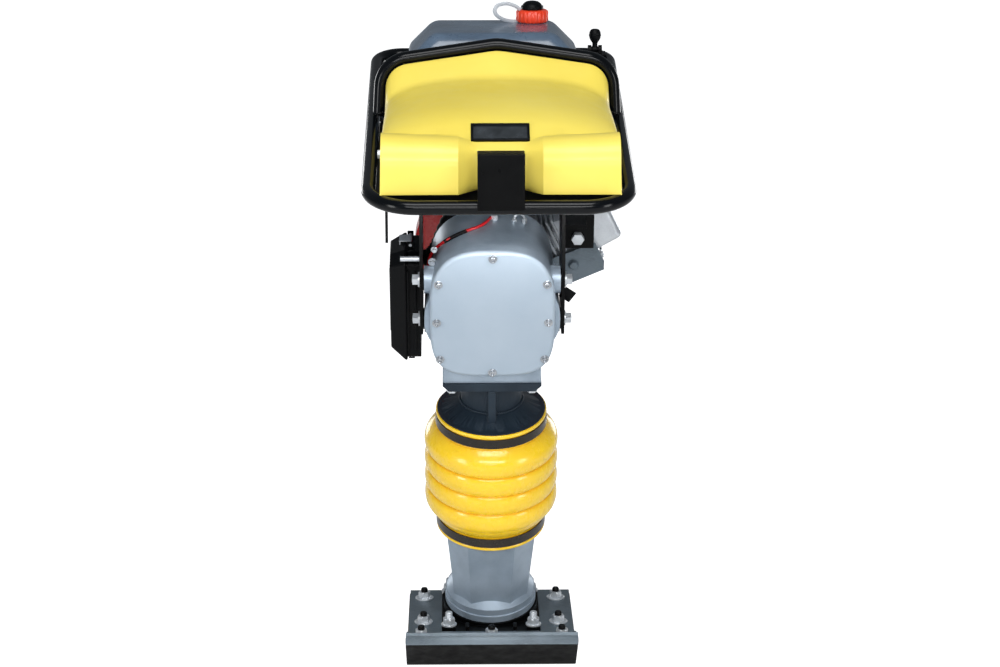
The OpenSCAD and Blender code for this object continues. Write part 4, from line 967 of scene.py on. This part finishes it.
def hull_of_balls(balls):
    """The rubber-band shape round a set of balls, each (centre, radius)."""
    bm = bmesh.new()
    for centre, radius in balls:
        place = Matrix.Translation(centre)
        bmesh.ops.create_uvsphere(bm, u_segments=40, v_segments=20, radius=radius, matrix=place)
    made = bmesh.ops.convex_hull(bm, input=bm.verts)
    inside = list({g for g in made["geom_interior"] if isinstance(g, bmesh.types.BMVert)})
    bmesh.ops.delete(bm, geom=inside, context="VERTS")
    bmesh.ops.delete(bm, geom=[v for v in bm.verts if not v.link_faces], context="VERTS")
    bmesh.ops.dissolve_limit(bm, angle_limit=math.radians(0.5), verts=bm.verts, edges=bm.edges)
    bm.verts.index_update()
    verts = [v.co.copy() for v in bm.verts]
    faces = [tuple(v.index for v in f.verts) for f in bm.faces]
    bm.free()
    return verts, faces


def build_tank():
    shell = hull_of_balls([((side * half, y, z), r) for half, y0, y1, z, r in (TANK_FOOT, TANK_SHOULDER, TANK_TOP)
                           for y in (y0, y1) for side in (-1, 1)])
    seam_z = 955
    share = (seam_z - TANK_FOOT[3]) / (TANK_SHOULDER[3] - TANK_FOOT[3])
    half = lerp(TANK_FOOT[0], TANK_SHOULDER[0], share)
    y0, y1 = (lerp(TANK_FOOT[i], TANK_SHOULDER[i], share) for i in (1, 2))
    ring = []
    for corner_x, corner_y, start in ((half, y1, 0), (-half, y1, 90), (-half, y0, 180), (half, y0, 270)):
        ring += [(x, y, seam_z) for x, y in arc(corner_x, corner_y, 18.7, start, start + 90, 9)]
    ridge = tube(ring, 1.3, 8, True, up=(0, 0, 1))
    rib = fillet([(-70, -20.8, 1004), (-70, -8, 1036), (76, -8, 1036), (76, -20.8, 1004)], 8)
    neck = moved(solid_lathe([(16, 0), (21, 0), (21, 24), (16, 24)], 48), Matrix.Translation((66, 140, 1040)))
    boss = moved(rod(11, 0, 24, 32), Matrix.Translation((-60, 80, 880)))
    parts = [shell, ridge, tube(rib, 1.5, 8), neck, boss]
    piece("tank_shell", *moved(merge(parts), Matrix.Translation((-2, 0, 0))), HANDLE, "tank", "power_unit",
          "tank_plastic", ("fuel_tank",), 40)


def build_cap():
    at = Matrix.Translation((64, 140, 1055.5))
    sides = 144
    profile = [(22, 0.2), (24.4, 0.2), (25.4, 1.4), (26, 3), (26, 17.5), (25.2, 19.6), (23, 20.8), (17, 21), (0.3, 21)]
    verts = []
    for r, z in profile:
        for k in range(sides):
            rib = 1.2 * max(0, math.cos(2 * math.pi * k / sides * 24)) if 3 <= z <= 17.5 else 0
            a = 2 * math.pi * k / sides
            verts.append(((r + rib) * math.cos(a), (r + rib) * math.sin(a), z))
    faces = grid_faces(len(profile), sides, False, True)
    faces += [tuple(reversed(range(sides))), tuple(range((len(profile) - 1) * sides, len(profile) * sides))]
    piece("cap_ring", *moved((verts, faces), at), HANDLE, "orange", "cap", "orange_plastic", ("fuel_cap",), 50)
    dome = solid_lathe([(0.3, 21.3), (17.6, 21.3), (18, 22), (17.9, 24), (17, 27), (15.2, 30), (12.6, 32.6),
                        (9.4, 34.4), (5, 35.3), (0.3, 35.5)], 64)
    grips = [moved(box_mesh((15.6, -1, 22), (18.6, 1, 27.5), 0.5), Matrix.Rotation(math.radians(a), 4, "Z"))
             for a in range(0, 360, 30)]
    piece("vent_knob_dome", *moved(merge([dome] + grips), at), HANDLE, "plastic", "knob", "black_plastic",
          ("vent_knob",))
    strap = smooth_path([(44, 126, 1078), (34, 122, 1085), (20, 118, 1089), (6, 116, 1086), (1, 116, 1077),
                         (6, 119, 1068), (18, 126, 1061), (32, 134, 1057.4), (42, 138, 1056.6)], 8)
    strap_mesh = tube(strap, 3.4, 12, flat=0.24, up=(0.1, 1, 0.2))
    piece("cap_strap", *strap_mesh, HANDLE, "strap", "power_unit", "tank_plastic", sharp=60)
    refined("fuel_cock_lever", "red", 0.6)


add_camera()
build_stop_wire()
add_lights()
add_floor()
build_shoe()
build_ram()
build_springs()
build_neck()
build_crankcase()
build_drive()
build_wiring()
build_engine()
build_fan_cover_details()
build_starter()
build_filter()
build_handle()
build_throttle()
build_hood()
build_tank()
build_cap()
